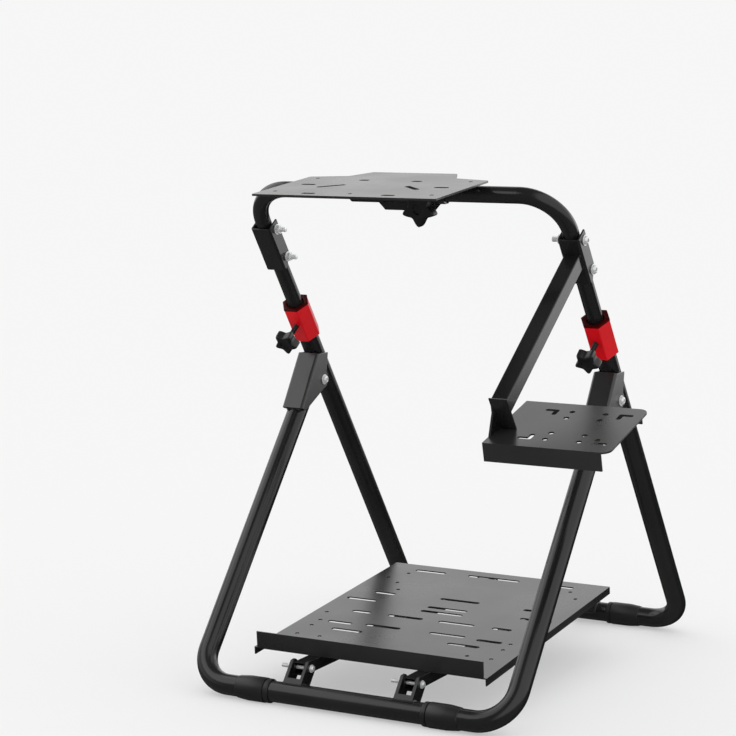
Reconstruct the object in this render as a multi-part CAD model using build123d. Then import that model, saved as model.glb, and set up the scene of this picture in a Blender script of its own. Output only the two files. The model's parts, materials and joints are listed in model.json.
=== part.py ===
"""Folding racing wheel stand: bent steel tube legs, a telescoping upper frame and folded sheet-metal decks.

The stand is modelled in millimetres. +Z is up, -Y is the driver's side and +X is the driver's right.
The origin is on the floor, in the mid-plane of the legs, halfway between the front and rear cross tubes.
"""
import os
from math import atan2, cos, degrees, hypot, radians, sin, tan

from build123d import *

# Leg tubes
LEG_TUBE_D = 32.0
LEG_WALL = 2.0
LEG_BEND_R = 55.0
LEG_SPACING = 522.0
FOOT_SPAN = 704.0
REAR_TILT = 36.0
FRONT_TILT = 39.3
FRONT_LEG_STOP = 21.0

# Foot sleeves over the joint between leg and cross tube
FOOT_PROUD = 3.0
FOOT_LENGTH = 58.0
FOOT_SPACING = 314.0
FOOT_FLAT = 0.8
FOOT_EDGE = 1.2
SLEEVE_CLEARANCE = 0.1

# Upper frame
UPPER_TUBE_D = 25.0
UPPER_WALL = 1.5
UPPER_BEND_R = 65.0
UPPER_ABOVE_CLAMP = 70.0
UPPER_INSERT = 150.0

# Collars on top of the rear legs
COLLAR_ABOVE_PIVOT = 75.0
COLLAR_LENGTH = 66.0
COLLAR_PROUD = 4.0
COLLAR_EDGE = 2.5
COLLAR_SPIGOT = 28.0
COLLAR_RECESS = 10.0
COLLAR_RECESS_WALL = 2.5
COLLAR_CLEARANCE = 0.25

# Star knobs
KNOB_R = 22.0
KNOB_VALLEY_R = 14.5
KNOB_LOBES = 5
KNOB_HEAD = 17.0
KNOB_TIP_FILLET = 2.5
KNOB_VALLEY_FILLET = 4.0
KNOB_EDGE = 1.5
KNOB_HUB_D = 20.0
KNOB_DISH_D = 15.0
KNOB_DISH = 2.0
KNOB_SCREW_D = 8.0
KNOB_FROM_COLLAR_END = 33.0
KNOB_STANDOFF = 30.0
WHEEL_KNOB_R = 29.0
WHEEL_KNOB_VALLEY_R = 18.5
WHEEL_KNOB_HUB = 5.0
SCREW_CLEARANCE = 0.2
SCREW_TIP_GAP = 0.4

# Fold pivots of the front legs
PIVOT_BELOW_CROSSING = 20.2
PIVOT_OFFSET = 28.5
PIVOT_BOLT_D = 8.0
PIVOT_LUG_R = 12.0
PIVOT_LUG_BASE = 42.0
PIVOT_LUG_W = 28.0
BRACKET_SHEET = 3.0
BRACKET_BELOW_PIVOT = 76.0
BRACKET_ABOVE_PIVOT = 45.0
BRACKET_PIVOT_R = 15.0
BRACKET_REAR_REACH = 30.0
BRACKET_BEND_R = 5.0
BRACKET_TAIL = 5.0
BRACKET_CLEARANCE = 0.3
RUNNING_FIT = 0.05
BOLT_FIT = 0.1

# Hex head bolts used as pins
HEAD_FLATS_RATIO = 1.65
HEAD_H_RATIO = 0.65
WASHER_D_RATIO = 1.75
WASHER_T = 1.6

# Clevises on the cross tubes and the two rails between them
RAIL_SPACING = 186.0
RAIL_SIZE = 20.0
RAIL_WALL = 1.6
RAIL_CORNER_R = 2.0
RAIL_PIN_D = 6.0
RAIL_PIN_ABOVE_TUBE = 18.3
RAIL_PIN_TAIL = 17.0
RAIL_FRONT_OVERHANG = 9.0
RAIL_REAR_OVERHANG = 15.0
RAIL_HOOK_CLEARANCE = 0.6
CLEVIS_EAR = 5.0
CLEVIS_WIDTH = 26.0
CLEVIS_WEB = 4.0
CLEVIS_ABOVE_PIN = 10.0
CLEVIS_CHAMFER = 6.0
CLEVIS_SIDE_GAP = 0.6

# Pedal deck
DECK_WIDTH = 394.0
DECK_DEPTH = 475.0
DECK_SHEET = 2.0
DECK_TILT = 4.9
DECK_FROM_PINS = 34.0
DECK_LIP = 27.0
DECK_LIP_INSET = 5.0
DECK_FLANGE = 10.0
RISER_FROM_REAR = 45.0
RISER_LENGTH = 40.0
RISER_SHEET = 3.0

# Wheel plate and its clamp on the top tube
WHEEL_WIDTH = 300.0
WHEEL_DEPTH = 175.0
WHEEL_TAB_DEPTH = 58.0
WHEEL_SHOULDER = 14.5
WHEEL_TAB_BASE = 180.0
WHEEL_TAB_END = 142.0
WHEEL_SHEET = 3.0
WHEEL_TILT = 6.2
WHEEL_FRONT_REACH = 179.0
WHEEL_CORNER_R = 3.0
CLAMP_WIDTH = 158.0
CLAMP_WALL = 3.5
CLAMP_SLIT = 6.0
CLAMP_EAR_DROP = 10.0
CLAMP_EAR_LEFT = 33.0
CLAMP_EAR_RIGHT = 68.0
CLAMP_EAR_SLOPE = 11.0
CLAMP_BOLT_X = 47.7
CLAMP_BOLT_DROP = 18.8
SADDLE_DEPTH = 32.0
SADDLE_BOTTOM = 6.2
SADDLE_TOP = 18.2

# Shifter clamps, arm and plate
SHIFTER_CLAMP_ABOVE_COLLAR = 82.0
SHIFTER_CLAMP_LENGTH = 83.0
SHIFTER_CLAMP_SHEET = 3.0
SHIFTER_CLAMP_SIDE_GAP = 1.5
SHIFTER_CLAMP_REAR = 12.0
SHIFTER_CLAMP_CUT = 17.0
SHIFTER_CLAMP_BEND_R = 4.0
ARM_SIZE = 25.0
ARM_WALL = 1.6
ARM_ABOVE_CLAMP_START = 43.5
ARM_END = 323.0
SHIFTER_WIDTH = 187.0
SHIFTER_DEPTH = 154.5
SHIFTER_SHEET = 2.5
SHIFTER_TILT = 14.8
SHIFTER_FLANGE = 28.0
SHIFTER_FLANGE_SHORT = 12.0
SHIFTER_REAR_FLANGE = 22.0
SHIFTER_SIDE_FLANGE = 70.0
SHIFTER_CORNER_R = 14.0
SHIFTER_PATTERN_X = 107.0
SHIFTER_PATTERN_Y = 78.0
ARM_END_SETBACK = 40.9
ARM_END_HEIGHT = 40.7
SHIFTER_BRACKET_SHEET = 3.0
SHIFTER_CHEEK_TOE = 25.0
SHIFTER_CHEEK_NECK = 7.0
SHIFTER_CHEEK_BACK = 33.0
SHIFTER_CHEEK_TOP = 10.0
SHEET_FIT = 0.1

# Mounting holes and slots in the sheets
HOLE_D = 6.5
SLOT_W = 9.0
SHIFTER_HOLE_D = 8.5
SHIFTER_SLOT_W = 7.0

# Derived sizes
LEG_R = LEG_TUBE_D / 2
UPPER_R = UPPER_TUBE_D / 2
HALF = LEG_SPACING / 2
FOOT_D = LEG_TUBE_D + 2 * FOOT_PROUD
COLLAR_FLATS = LEG_TUBE_D + 2 * COLLAR_PROUD
AXIS_Z = FOOT_D / 2 - FOOT_FLAT
RAIL_PIN_Z = AXIS_Z + LEG_R + RAIL_PIN_ABOVE_TUBE
REAR_Y = FOOT_SPAN / 2
FRONT_Y = -FOOT_SPAN / 2
RAIL_X = RAIL_SPACING / 2
FOLD_ANGLE = REAR_TILT + FRONT_TILT
CROSSING_ALONG = FOOT_SPAN * cos(radians(FRONT_TILT)) / sin(radians(FOLD_ANGLE))
PIVOT_ALONG = CROSSING_ALONG - PIVOT_BELOW_CROSSING
COLLAR_START = PIVOT_ALONG + COLLAR_ABOVE_PIVOT
COLLAR_END = COLLAR_START + COLLAR_LENGTH
SHIFTER_CLAMP_START = COLLAR_END + SHIFTER_CLAMP_ABOVE_COLLAR
ARM_ALONG = SHIFTER_CLAMP_START + ARM_ABOVE_CLAMP_START
UPPER_REACH = SHIFTER_CLAMP_START + SHIFTER_CLAMP_LENGTH + UPPER_ABOVE_CLAMP
SIDES = {"left": -1, "right": 1}


def tilted(y, z, angle, x=0.0):
    """Plane with local x along X, local y rising by angle from +Y, and local z on its upper side."""
    turn = radians(angle)
    return Plane(origin=(x, y, z), x_dir=(1, 0, 0), z_dir=(0, -sin(turn), cos(turn)))


# Local y runs up the leg and local z points to the driver's side of it
REAR = tilted(REAR_Y, AXIS_Z, 90 + REAR_TILT)
FRONT = tilted(FRONT_Y, AXIS_Z, 90 - FRONT_TILT)


def place(plane, shape, x=0.0, y=0.0, z=0.0):
    """Shape moved from local coordinates of a plane, after a local shift."""
    return plane.location * Pos(x, y, z) * shape


def in_plane(point, plane):
    """Local (y, z) of a global point, for outlines drawn across a leg."""
    local = plane.to_local_coords(Vector(*point))
    return local.Y, local.Z


def across(profile, width):
    """Solid made from a profile drawn in local y and z, extruded evenly to both sides along x."""
    return extrude(Plane.YZ * profile, amount=width / 2, both=True)


def x_cylinder(radius, length, y=0.0, z=0.0, x=0.0):
    """Cylinder along x, centred on x."""
    return Pos(x, y, z) * Rot(0, 90, 0) * Cylinder(radius, length)


def outline(points):
    """Closed straight-sided face through the points."""
    return make_face(Polyline(*points, close=True))


def tube_along(path, radius, wall):
    """Hollow round tube swept along a path."""
    section = Plane(origin=path @ 0, z_dir=path % 0) * (Circle(radius) - Circle(radius - wall))
    return sweep(section, path=path)


def slot_cut(x, y, length, depth, turn=0.0, width=SLOT_W):
    """Through cutter for a slot along local x, turned about its middle."""
    return Pos(x, y, 0) * Rot(0, 0, turn) * extrude(SlotOverall(length, width), amount=depth, both=True)


def hole_cut(x, y, depth, diameter=HOLE_D):
    """Through cutter for a round mounting hole."""
    return Pos(x, y, 0) * extrude(Circle(diameter / 2), amount=depth, both=True)


def mirrored(rows):
    """Rows of (x, ...) with each row that is off the middle also given on the other side."""
    result = []
    for x, *rest in rows:
        result.append((x, *rest))
        if x:
            result.append((-x, *rest))
    return result


parts = {}


# Legs, cross tubes and feet
def j_leg(side, top):
    """Leg that bends at the floor and runs inwards to the joint under its foot sleeve."""
    path = FilletPolyline(
        (side * HALF, top), (side * HALF, 0), (side * FOOT_SPACING / 2, 0), radius=LEG_BEND_R
    )
    return tube_along(path, LEG_R, LEG_WALL)


def cross_tube():
    """Straight tube between the two joints."""
    ring = Circle(LEG_R) - Circle(LEG_R - LEG_WALL)
    return extrude(Plane.YZ * ring, amount=FOOT_SPACING / 2, both=True)


def foot_sleeve():
    """Round sleeve with softened ends and a flat underneath to stand on."""
    sleeve = x_cylinder(FOOT_D / 2, FOOT_LENGTH)
    sleeve = chamfer(sleeve.edges().filter_by(GeomType.CIRCLE), FOOT_EDGE)
    sleeve -= x_cylinder(LEG_R + SLEEVE_CLEARANCE, FOOT_LENGTH)
    flat_z = FOOT_FLAT - FOOT_D / 2
    return sleeve - Pos(0, 0, flat_z - FOOT_D / 2) * Box(FOOT_LENGTH, FOOT_D, FOOT_D)


PIVOT = REAR.from_local_coords(Vector(0, PIVOT_ALONG, PIVOT_OFFSET))
PIVOT_T, PIVOT_M = in_plane(PIVOT, FRONT)
FRONT_LEG_TOP = PIVOT_T - FRONT_LEG_STOP

for row, plane, y, top in (("rear", REAR, REAR_Y, COLLAR_START), ("front", FRONT, FRONT_Y, FRONT_LEG_TOP)):
    for name, side in SIDES.items():
        parts[f"{row}_{name}_leg"] = place(plane, j_leg(side, top))
        parts[f"{row}_{name}_foot"] = Pos(side * FOOT_SPACING / 2, y, AXIS_Z) * foot_sleeve()
    parts[f"{row}_cross_tube"] = Pos(0, y, AXIS_Z) * cross_tube()


# Upper frame: one inverted U of smaller tube that slides in the rear legs
def upper_tube():
    low = COLLAR_START - UPPER_INSERT
    path = FilletPolyline(
        (-HALF, low), (-HALF, UPPER_REACH), (HALF, UPPER_REACH), (HALF, low), radius=UPPER_BEND_R
    )
    return tube_along(path, UPPER_R, UPPER_WALL)


parts["upper_tube"] = place(REAR, upper_tube())

KNOB_ALONG = COLLAR_END - KNOB_FROM_COLLAR_END


def collar():
    """Hexagonal guide collar with a spigot in the leg, a bore for the upper tube and a screw hole."""
    section = Plane(origin=(0, COLLAR_START, 0), x_dir=(1, 0, 0), z_dir=(0, 1, 0))
    bore_r = UPPER_R + COLLAR_CLEARANCE
    hexagon = fillet(RegularPolygon(COLLAR_FLATS / 2, 6, major_radius=False).vertices(), COLLAR_EDGE)
    body = extrude(section * hexagon, amount=COLLAR_LENGTH)
    body += extrude(section * Circle(LEG_R - LEG_WALL - SLEEVE_CLEARANCE), amount=-COLLAR_SPIGOT)
    body -= extrude(section * Circle(bore_r), amount=COLLAR_LENGTH)
    body -= extrude(section * Circle(bore_r), amount=-COLLAR_SPIGOT)
    rim = Plane(section.from_local_coords((0, 0, COLLAR_LENGTH)), x_dir=(1, 0, 0), z_dir=(0, 1, 0))
    body -= extrude(rim * Circle(COLLAR_FLATS / 2 - COLLAR_RECESS_WALL), amount=-COLLAR_RECESS)
    base = (Align.CENTER, Align.CENTER, Align.MIN)
    screw = Cylinder(KNOB_SCREW_D / 2 + SCREW_CLEARANCE, COLLAR_FLATS, align=base)
    return body - Pos(0, KNOB_ALONG, 0) * screw


def star_knob(tip_r, valley_r, face, seat, screw_tip):
    """Star knob on the local z axis, from its face down over its hub's seat to its screw's tip."""
    points = []
    for step in range(2 * KNOB_LOBES):
        angle = radians(90 + 180 * step / KNOB_LOBES)
        radius = valley_r if step % 2 else tip_r
        points.append((radius * cos(angle), -radius * sin(angle)))
    star = outline(points)
    tips = [v for v in star.vertices() if hypot(v.X, v.Y) > (tip_r + valley_r) / 2]
    star = fillet(tips, KNOB_TIP_FILLET)
    valleys = [v for v in star.vertices() if hypot(v.X, v.Y) < valley_r + KNOB_TIP_FILLET / 2]
    star = fillet(valleys, KNOB_VALLEY_FILLET)
    head = extrude(star, amount=KNOB_HEAD)
    head = chamfer(head.faces().sort_by(Axis.Z)[-1].edges(), KNOB_EDGE)
    head -= Pos(0, 0, KNOB_HEAD) * Cylinder(KNOB_DISH_D / 2, 2 * KNOB_DISH)
    knob = Pos(0, 0, face - KNOB_HEAD) * head
    base = (Align.CENTER, Align.CENTER, Align.MIN)
    knob += Pos(0, 0, seat) * Cylinder(KNOB_HUB_D / 2, face - KNOB_HEAD - seat, align=base)
    return knob + Pos(0, 0, screw_tip) * Cylinder(KNOB_SCREW_D / 2, face - KNOB_HEAD - screw_tip, align=base)


def height_knob():
    seat = COLLAR_FLATS / 2 + SCREW_CLEARANCE
    return star_knob(KNOB_R, KNOB_VALLEY_R, seat + KNOB_STANDOFF + KNOB_HEAD, seat, UPPER_R + SCREW_TIP_GAP)


# Fold pivot: a lug on the rear leg between the cheeks of the front leg's channel bracket
def pivot_lug():
    half = PIVOT_LUG_BASE / 2
    tab = outline([
        (PIVOT_ALONG - half, 0), (PIVOT_ALONG + half, 0),
        (PIVOT_ALONG + PIVOT_LUG_R, PIVOT_OFFSET), (PIVOT_ALONG - PIVOT_LUG_R, PIVOT_OFFSET),
    ])
    tab += Pos(PIVOT_ALONG, PIVOT_OFFSET) * Circle(PIVOT_LUG_R)
    lug = across(tab, PIVOT_LUG_W)
    lug -= Pos(0, PIVOT_ALONG, 0) * Rot(90, 0, 0) * Cylinder(LEG_R + RUNNING_FIT, 3 * PIVOT_LUG_BASE)
    return lug - x_cylinder(PIVOT_BOLT_D / 2 + RUNNING_FIT, PIVOT_LUG_W, PIVOT_ALONG, PIVOT_OFFSET)


BRACKET_INNER = 2 * (LEG_R + BRACKET_CLEARANCE)
BRACKET_OUTER = BRACKET_INNER + 2 * BRACKET_SHEET


def leg_bracket():
    """Channel welded to the front leg's head. Its web stops against the rear leg when the stand is open."""
    web_foot = (PIVOT_T - BRACKET_BELOW_PIVOT, LEG_R + BRACKET_CLEARANCE)
    stop = REAR.from_local_coords(Vector(0, PIVOT_ALONG + BRACKET_ABOVE_PIVOT, LEG_R + BRACKET_CLEARANCE))
    web_head = in_plane(stop, FRONT)
    lean = atan2(web_head[1] - web_foot[1], web_head[0] - web_foot[0])
    off = (-BRACKET_SHEET * sin(lean), BRACKET_SHEET * cos(lean))
    back = (cos(lean), sin(lean))
    outer_foot = (web_foot[0] + off[0], web_foot[1] + off[1])
    outer_head = (web_head[0] + off[0], web_head[1] + off[1])
    outer_middle = ((outer_foot[0] + outer_head[0]) / 2, (outer_foot[1] + outer_head[1]) / 2)
    level = radians(90 - FRONT_TILT)
    rear_head = (web_head[0] + BRACKET_REAR_REACH * cos(level), web_head[1] - BRACKET_REAR_REACH * sin(level))
    cheek = outline([
        outer_foot, outer_head, web_head, rear_head, (PIVOT_T + BRACKET_PIVOT_R, PIVOT_M),
        (PIVOT_T, PIVOT_M - BRACKET_PIVOT_R), (web_foot[0] + BRACKET_TAIL, BRACKET_TAIL),
    ])
    cheek += Pos(PIVOT_T, PIVOT_M) * Circle(BRACKET_PIVOT_R)
    beyond = BRACKET_BELOW_PIVOT + BRACKET_ABOVE_PIVOT
    inside = outline([
        (web_foot[0] - LEG_TUBE_D * back[0], web_foot[1] - LEG_TUBE_D * back[1]),
        (web_head[0] + LEG_TUBE_D * back[0], web_head[1] + LEG_TUBE_D * back[1]),
        (web_head[0] + LEG_TUBE_D, -beyond), (web_foot[0] - LEG_TUBE_D, -beyond),
    ])
    block = across(cheek, BRACKET_OUTER)
    web_face = block.faces().sort_by_distance((0, *outer_middle))[0]
    folds = web_face.edges().filter_by(lambda edge: abs(edge.center().X) > LEG_R)
    bracket = fillet(folds, BRACKET_BEND_R) - across(inside, BRACKET_INNER)
    return bracket - x_cylinder(PIVOT_BOLT_D / 2 + BOLT_FIT, BRACKET_OUTER, PIVOT_T, PIVOT_M)


def hex_bolt(diameter, grip, tail):
    """Bolt along x with its head, washers and nut outside a grip centred on x = 0."""
    head_h = HEAD_H_RATIO * diameter
    hexagon = RegularPolygon(HEAD_FLATS_RATIO * diameter / 2, 6, major_radius=False)
    far = grip / 2 + WASHER_T
    bolt = x_cylinder(diameter / 2, 2 * far + tail, x=-tail / 2)
    for side in SIDES.values():
        bolt += x_cylinder(WASHER_D_RATIO * diameter / 2, WASHER_T, x=side * (grip + WASHER_T) / 2)
        nut = extrude(Plane.YZ * hexagon, amount=head_h / 2, both=True)
        bolt += Pos(side * (far + head_h / 2), 0, 0) * nut
    return bolt


PIVOT_BOLT_TAIL = HEAD_H_RATIO * PIVOT_BOLT_D + 2 * WASHER_T
for name, side in SIDES.items():
    parts[f"{name}_collar"] = place(REAR, collar(), x=side * HALF)
    parts[f"{name}_height_knob"] = place(REAR, height_knob(), x=side * HALF, y=KNOB_ALONG)
    parts[f"{name}_pivot_lug"] = place(REAR, pivot_lug(), x=side * HALF)
    parts[f"{name}_leg_bracket"] = place(FRONT, leg_bracket(), x=side * HALF)
    bolt = hex_bolt(PIVOT_BOLT_D, BRACKET_OUTER, PIVOT_BOLT_TAIL)
    parts[f"{name}_pivot_bolt"] = place(FRONT, bolt, x=side * HALF, y=PIVOT_T, z=PIVOT_M)


# Clevises and rails under the pedal deck
CLEVIS_INNER = RAIL_SIZE + 2 * CLEVIS_SIDE_GAP
CLEVIS_OUTER = CLEVIS_INNER + 2 * CLEVIS_EAR


def clevis(pin_along):
    """U-shaped bracket saddled on a cross tube, with its pin hole at pin_along on local y."""
    half = CLEVIS_WIDTH / 2
    top = pin_along + CLEVIS_ABOVE_PIN
    ear = outline([
        (0, -half), (top - CLEVIS_CHAMFER, -half), (top, CLEVIS_CHAMFER - half),
        (top, half - CLEVIS_CHAMFER), (top - CLEVIS_CHAMFER, half), (0, half),
    ])
    body = across(ear, CLEVIS_OUTER)
    web_top = LEG_R + CLEVIS_WEB
    body -= Pos(0, web_top + pin_along, 0) * Box(CLEVIS_INNER, 2 * pin_along, 2 * CLEVIS_WIDTH)
    body -= x_cylinder(LEG_R + RUNNING_FIT, 2 * CLEVIS_OUTER)
    return body - x_cylinder(RAIL_PIN_D / 2 + BOLT_FIT, CLEVIS_OUTER, pin_along)


PIN_RISE = RAIL_PIN_Z - AXIS_Z
FRONT_PIN = PIN_RISE / cos(radians(FRONT_TILT))
REAR_PIN = PIN_RISE / cos(radians(REAR_TILT))
FRONT_PIN_Y = FRONT_Y + FRONT_PIN * sin(radians(FRONT_TILT))
REAR_PIN_Y = REAR_Y - REAR_PIN * sin(radians(REAR_TILT))
RAIL_TOP_Z = RAIL_PIN_Z + RAIL_SIZE / 2
RAIL_PIVOT_LENGTH = REAR_PIN_Y - FRONT_PIN_Y

for row, plane, along in (("front", FRONT, FRONT_PIN), ("rear", REAR, REAR_PIN)):
    for name, side in SIDES.items():
        parts[f"{row}_{name}_clevis"] = place(plane, clevis(along), x=side * RAIL_X)
        bolt = hex_bolt(RAIL_PIN_D, CLEVIS_OUTER, RAIL_PIN_TAIL)
        parts[f"{row}_{name}_rail_pin"] = place(plane, bolt, x=side * RAIL_X, y=along)

# The rear pin leaves the hook along the first part of its path when the front legs fold
DECK_FOLD_RATIO = (90 - FRONT_TILT) / FOLD_ANGLE
HOOK_BACK = PIVOT.Z - RAIL_PIN_Z
HOOK_UP = (1 + DECK_FOLD_RATIO) * RAIL_PIVOT_LENGTH - (PIVOT.Y - FRONT_PIN_Y)
HOOK_LEAN = degrees(atan2(HOOK_BACK, HOOK_UP))


def rail():
    """Square tube, open in front where the pin crosses it, with a downward hook at the rear."""
    length = RAIL_FRONT_OVERHANG + RAIL_PIVOT_LENGTH + RAIL_REAR_OVERHANG
    inner = RAIL_SIZE - 2 * RAIL_WALL
    section = RectangleRounded(RAIL_SIZE, RAIL_SIZE, RAIL_CORNER_R) - Rectangle(inner, inner)
    tube = Pos(0, -RAIL_FRONT_OVERHANG, 0) * extrude(Plane.XZ * section, amount=-length)
    tube -= x_cylinder(RAIL_PIN_D / 2 + RUNNING_FIT, RAIL_SIZE)
    width = RAIL_PIN_D + 2 * RAIL_HOOK_CLEARANCE
    hook = Pos(0, -RAIL_SIZE / 2) * Rectangle(width, RAIL_SIZE) + Circle(width / 2)
    return tube - Pos(0, RAIL_PIVOT_LENGTH, 0) * across(Rot(0, 0, -HOOK_LEAN) * hook, RAIL_SIZE)


for name, side in SIDES.items():
    parts[f"{name}_rail"] = Pos(side * RAIL_X, FRONT_PIN_Y, RAIL_PIN_Z) * rail()

# Pedal deck: folded sheet with an up-turned heel lip and down-turned sides, on the rails and two risers
DECK = tilted(FRONT_PIN_Y + DECK_FROM_PINS, RAIL_TOP_Z, DECK_TILT)
DECK_SLOTS = [
    (0.0, 448.0, 94.0), (116.5, 446.0, 57.0), (0.0, 318.0, 70.0), (134.0, 313.0, 38.0),
    (155.0, 271.0, 54.0), (0.0, 272.0, 70.0), (0.0, 251.0, 74.0), (123.5, 212.0, 33.0),
    (45.0, 212.0, 62.0), (130.0, 152.0, 43.0), (56.0, 157.0, 61.0), (101.0, 121.0, 54.0),
]
DECK_HOLES = [
    (170.0, 394.0), (142.0, 372.0), (148.0, 425.0), (123.0, 338.0), (176.0, 191.0),
    (166.0, 152.0), (166.0, 124.0), (167.0, 80.0), (127.0, 80.0),
]


def pedal_deck():
    def strip(width, depth, height):
        return Box(width, depth, height, align=(Align.CENTER, Align.MIN, Align.MIN))

    sheet = strip(DECK_WIDTH, DECK_DEPTH, DECK_SHEET)
    sheet += strip(DECK_WIDTH - 2 * DECK_LIP_INSET, DECK_SHEET, DECK_LIP)
    for side in SIDES.values():
        flange = Pos(side * (DECK_WIDTH - DECK_SHEET) / 2, 0, -DECK_FLANGE) * strip(
            DECK_SHEET, DECK_DEPTH, DECK_FLANGE)
        sheet += flange
    for x, y, length in mirrored(DECK_SLOTS):
        sheet -= slot_cut(x, y, length, 2 * DECK_SHEET)
    for x, y in mirrored(DECK_HOLES):
        sheet -= hole_cut(x, y, 2 * DECK_SHEET)
    return sheet


def deck_riser():
    """Channel that stands on a rail and carries the raised rear of the deck, in deck coordinates."""
    front = DECK_DEPTH - RISER_FROM_REAR - RISER_LENGTH
    rear = DECK_DEPTH - RISER_FROM_REAR
    fall = tan(radians(DECK_TILT))

    def profile(start, end):
        return outline([(start, 0), (end, 0), (end, -end * fall), (start, -start * fall)])

    body = across(profile(front, rear), RAIL_SIZE)
    return body - across(profile(front + RISER_SHEET, rear + RISER_LENGTH), RAIL_SIZE - 2 * RISER_SHEET)


parts["pedal_deck"] = place(DECK, pedal_deck())
for name, side in SIDES.items():
    parts[f"{name}_deck_riser"] = place(DECK, deck_riser(), x=side * RAIL_X)

# Wheel plate, in coordinates about the top tube's axis
TOP = REAR.from_local_coords(Vector(0, UPPER_REACH, 0))
WHEEL = tilted(TOP.Y, TOP.Z, WHEEL_TILT)
WHEEL_SLOTS = [
    (110.0, 100.0, 24.0, 0.0), (65.0, 19.5, 22.0, 0.0), (67.0, 91.0, 44.0, -42.0), (44.0, 152.0, 17.0, 0.0),
]
WHEEL_HOLES = [(0.0, 26.0), (128.0, 32.0), (128.0, 160.0)]
CLAMP_BORE_R = UPPER_R + RUNNING_FIT
CLAMP_OUTER_R = CLAMP_BORE_R + CLAMP_WALL


def wheel_plate():
    front = -WHEEL_FRONT_REACH
    rear = front + WHEEL_DEPTH
    end = rear + WHEEL_TAB_DEPTH
    half = WHEEL_WIDTH / 2
    base = WHEEL_TAB_BASE / 2
    tip = WHEEL_TAB_END / 2
    shape = outline([
        (-half, front), (half, front), (half, rear), (base, rear + WHEEL_SHOULDER),
        (tip, end), (-tip, end), (-base, rear + WHEEL_SHOULDER), (-half, rear),
    ])
    shape = fillet(shape.vertices(), WHEEL_CORNER_R)
    plate = extrude(shape, amount=WHEEL_SHEET)
    for x, y, length, turn in mirrored(WHEEL_SLOTS):
        plate -= slot_cut(x, front + y, length, 2 * WHEEL_SHEET, turn if x > 0 else -turn)
    for x, y in mirrored(WHEEL_HOLES):
        plate -= hole_cut(x, front + y, 2 * WHEEL_SHEET)
    return Pos(0, 0, SADDLE_TOP) * plate


def wheel_saddle():
    """Seat between the plate and the clamp ring."""
    height = SADDLE_TOP - SADDLE_BOTTOM
    block = Pos(0, 0, SADDLE_BOTTOM + height / 2) * Box(CLAMP_WIDTH, SADDLE_DEPTH, height)
    return block - x_cylinder(CLAMP_OUTER_R + SHEET_FIT, CLAMP_WIDTH)


def wheel_clamp():
    """Split ring round the top tube, with two ears pinched together by the knob's screw."""
    ring = Circle(CLAMP_OUTER_R) - Circle(CLAMP_BORE_R)
    ring -= Pos(0, -CLAMP_OUTER_R) * Rectangle(CLAMP_SLIT, 2 * CLAMP_WALL + UPPER_R)
    clamp = across(ring, CLAMP_WIDTH)
    top = -CLAMP_BORE_R - CLAMP_WALL / 2
    bottom = -CLAMP_OUTER_R - CLAMP_EAR_DROP
    face = outline([
        (-CLAMP_EAR_LEFT, top), (CLAMP_EAR_RIGHT, top),
        (CLAMP_EAR_RIGHT - CLAMP_EAR_SLOPE, bottom), (-CLAMP_EAR_LEFT + CLAMP_EAR_SLOPE, bottom),
    ])
    for side in SIDES.values():
        ear = extrude(Plane.XZ * face, amount=CLAMP_WALL / 2, both=True)
        clamp += Pos(0, side * (CLAMP_SLIT + CLAMP_WALL) / 2, 0) * ear
    hole = Cylinder(KNOB_SCREW_D / 2 + SCREW_CLEARANCE, 4 * CLAMP_OUTER_R)
    return clamp - Pos(CLAMP_BOLT_X, 0, -CLAMP_BOLT_DROP) * Rot(90, 0, 0) * hole


def wheel_knob():
    """Star knob whose screw runs through both ears, from the driver's side."""
    seat = CLAMP_OUTER_R + SCREW_CLEARANCE
    tip = -CLAMP_SLIT / 2 - CLAMP_WALL - KNOB_SCREW_D
    knob = star_knob(WHEEL_KNOB_R, WHEEL_KNOB_VALLEY_R, seat + WHEEL_KNOB_HUB + KNOB_HEAD, seat, tip)
    return Pos(CLAMP_BOLT_X, 0, -CLAMP_BOLT_DROP) * Rot(90, 0, 0) * knob


parts["wheel_plate"] = place(WHEEL, wheel_plate())
parts["wheel_saddle"] = place(WHEEL, wheel_saddle())
parts["wheel_clamp"] = place(WHEEL, wheel_clamp())
parts["wheel_knob"] = place(WHEEL, wheel_knob())


# Shifter clamps on both uprights, and the arm and plate on the right one
CLAMP_HALF = UPPER_R + SHEET_FIT
ARM_START = CLAMP_HALF + SHIFTER_CLAMP_SHEET


def shifter_clamp():
    """Channel over the driver's side of an upright, with the lower rear corner of its cheeks cut off."""
    inner = CLAMP_HALF + SHIFTER_CLAMP_SIDE_GAP
    end = SHIFTER_CLAMP_START + SHIFTER_CLAMP_LENGTH
    side = outline([
        (SHIFTER_CLAMP_START, ARM_START), (end, ARM_START), (end, -SHIFTER_CLAMP_REAR),
        (SHIFTER_CLAMP_START + SHIFTER_CLAMP_CUT, -SHIFTER_CLAMP_REAR),
        (SHIFTER_CLAMP_START, SHIFTER_CLAMP_CUT - SHIFTER_CLAMP_REAR),
    ])
    block = across(side, 2 * (inner + SHIFTER_CLAMP_SHEET))
    folds = block.edges().filter_by(Axis.Y).group_by(Axis.Z)[-1]
    block = fillet(folds, SHIFTER_CLAMP_BEND_R)
    gap = Box(2 * inner, 2 * end, 2 * (CLAMP_HALF + SHIFTER_CLAMP_REAR))
    return block - Pos(0, 0, -SHIFTER_CLAMP_REAR) * gap


def shifter_arm():
    inner = ARM_SIZE - 2 * ARM_WALL
    section = RectangleRounded(ARM_SIZE, ARM_SIZE, RAIL_CORNER_R) - Rectangle(inner, inner)
    return extrude(section, amount=ARM_END - ARM_START)


for name, side in SIDES.items():
    parts[f"{name}_shifter_clamp"] = place(REAR, shifter_clamp(), x=side * HALF)
parts["shifter_arm"] = place(REAR, shifter_arm(), x=HALF, y=ARM_ALONG, z=ARM_START)

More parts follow.
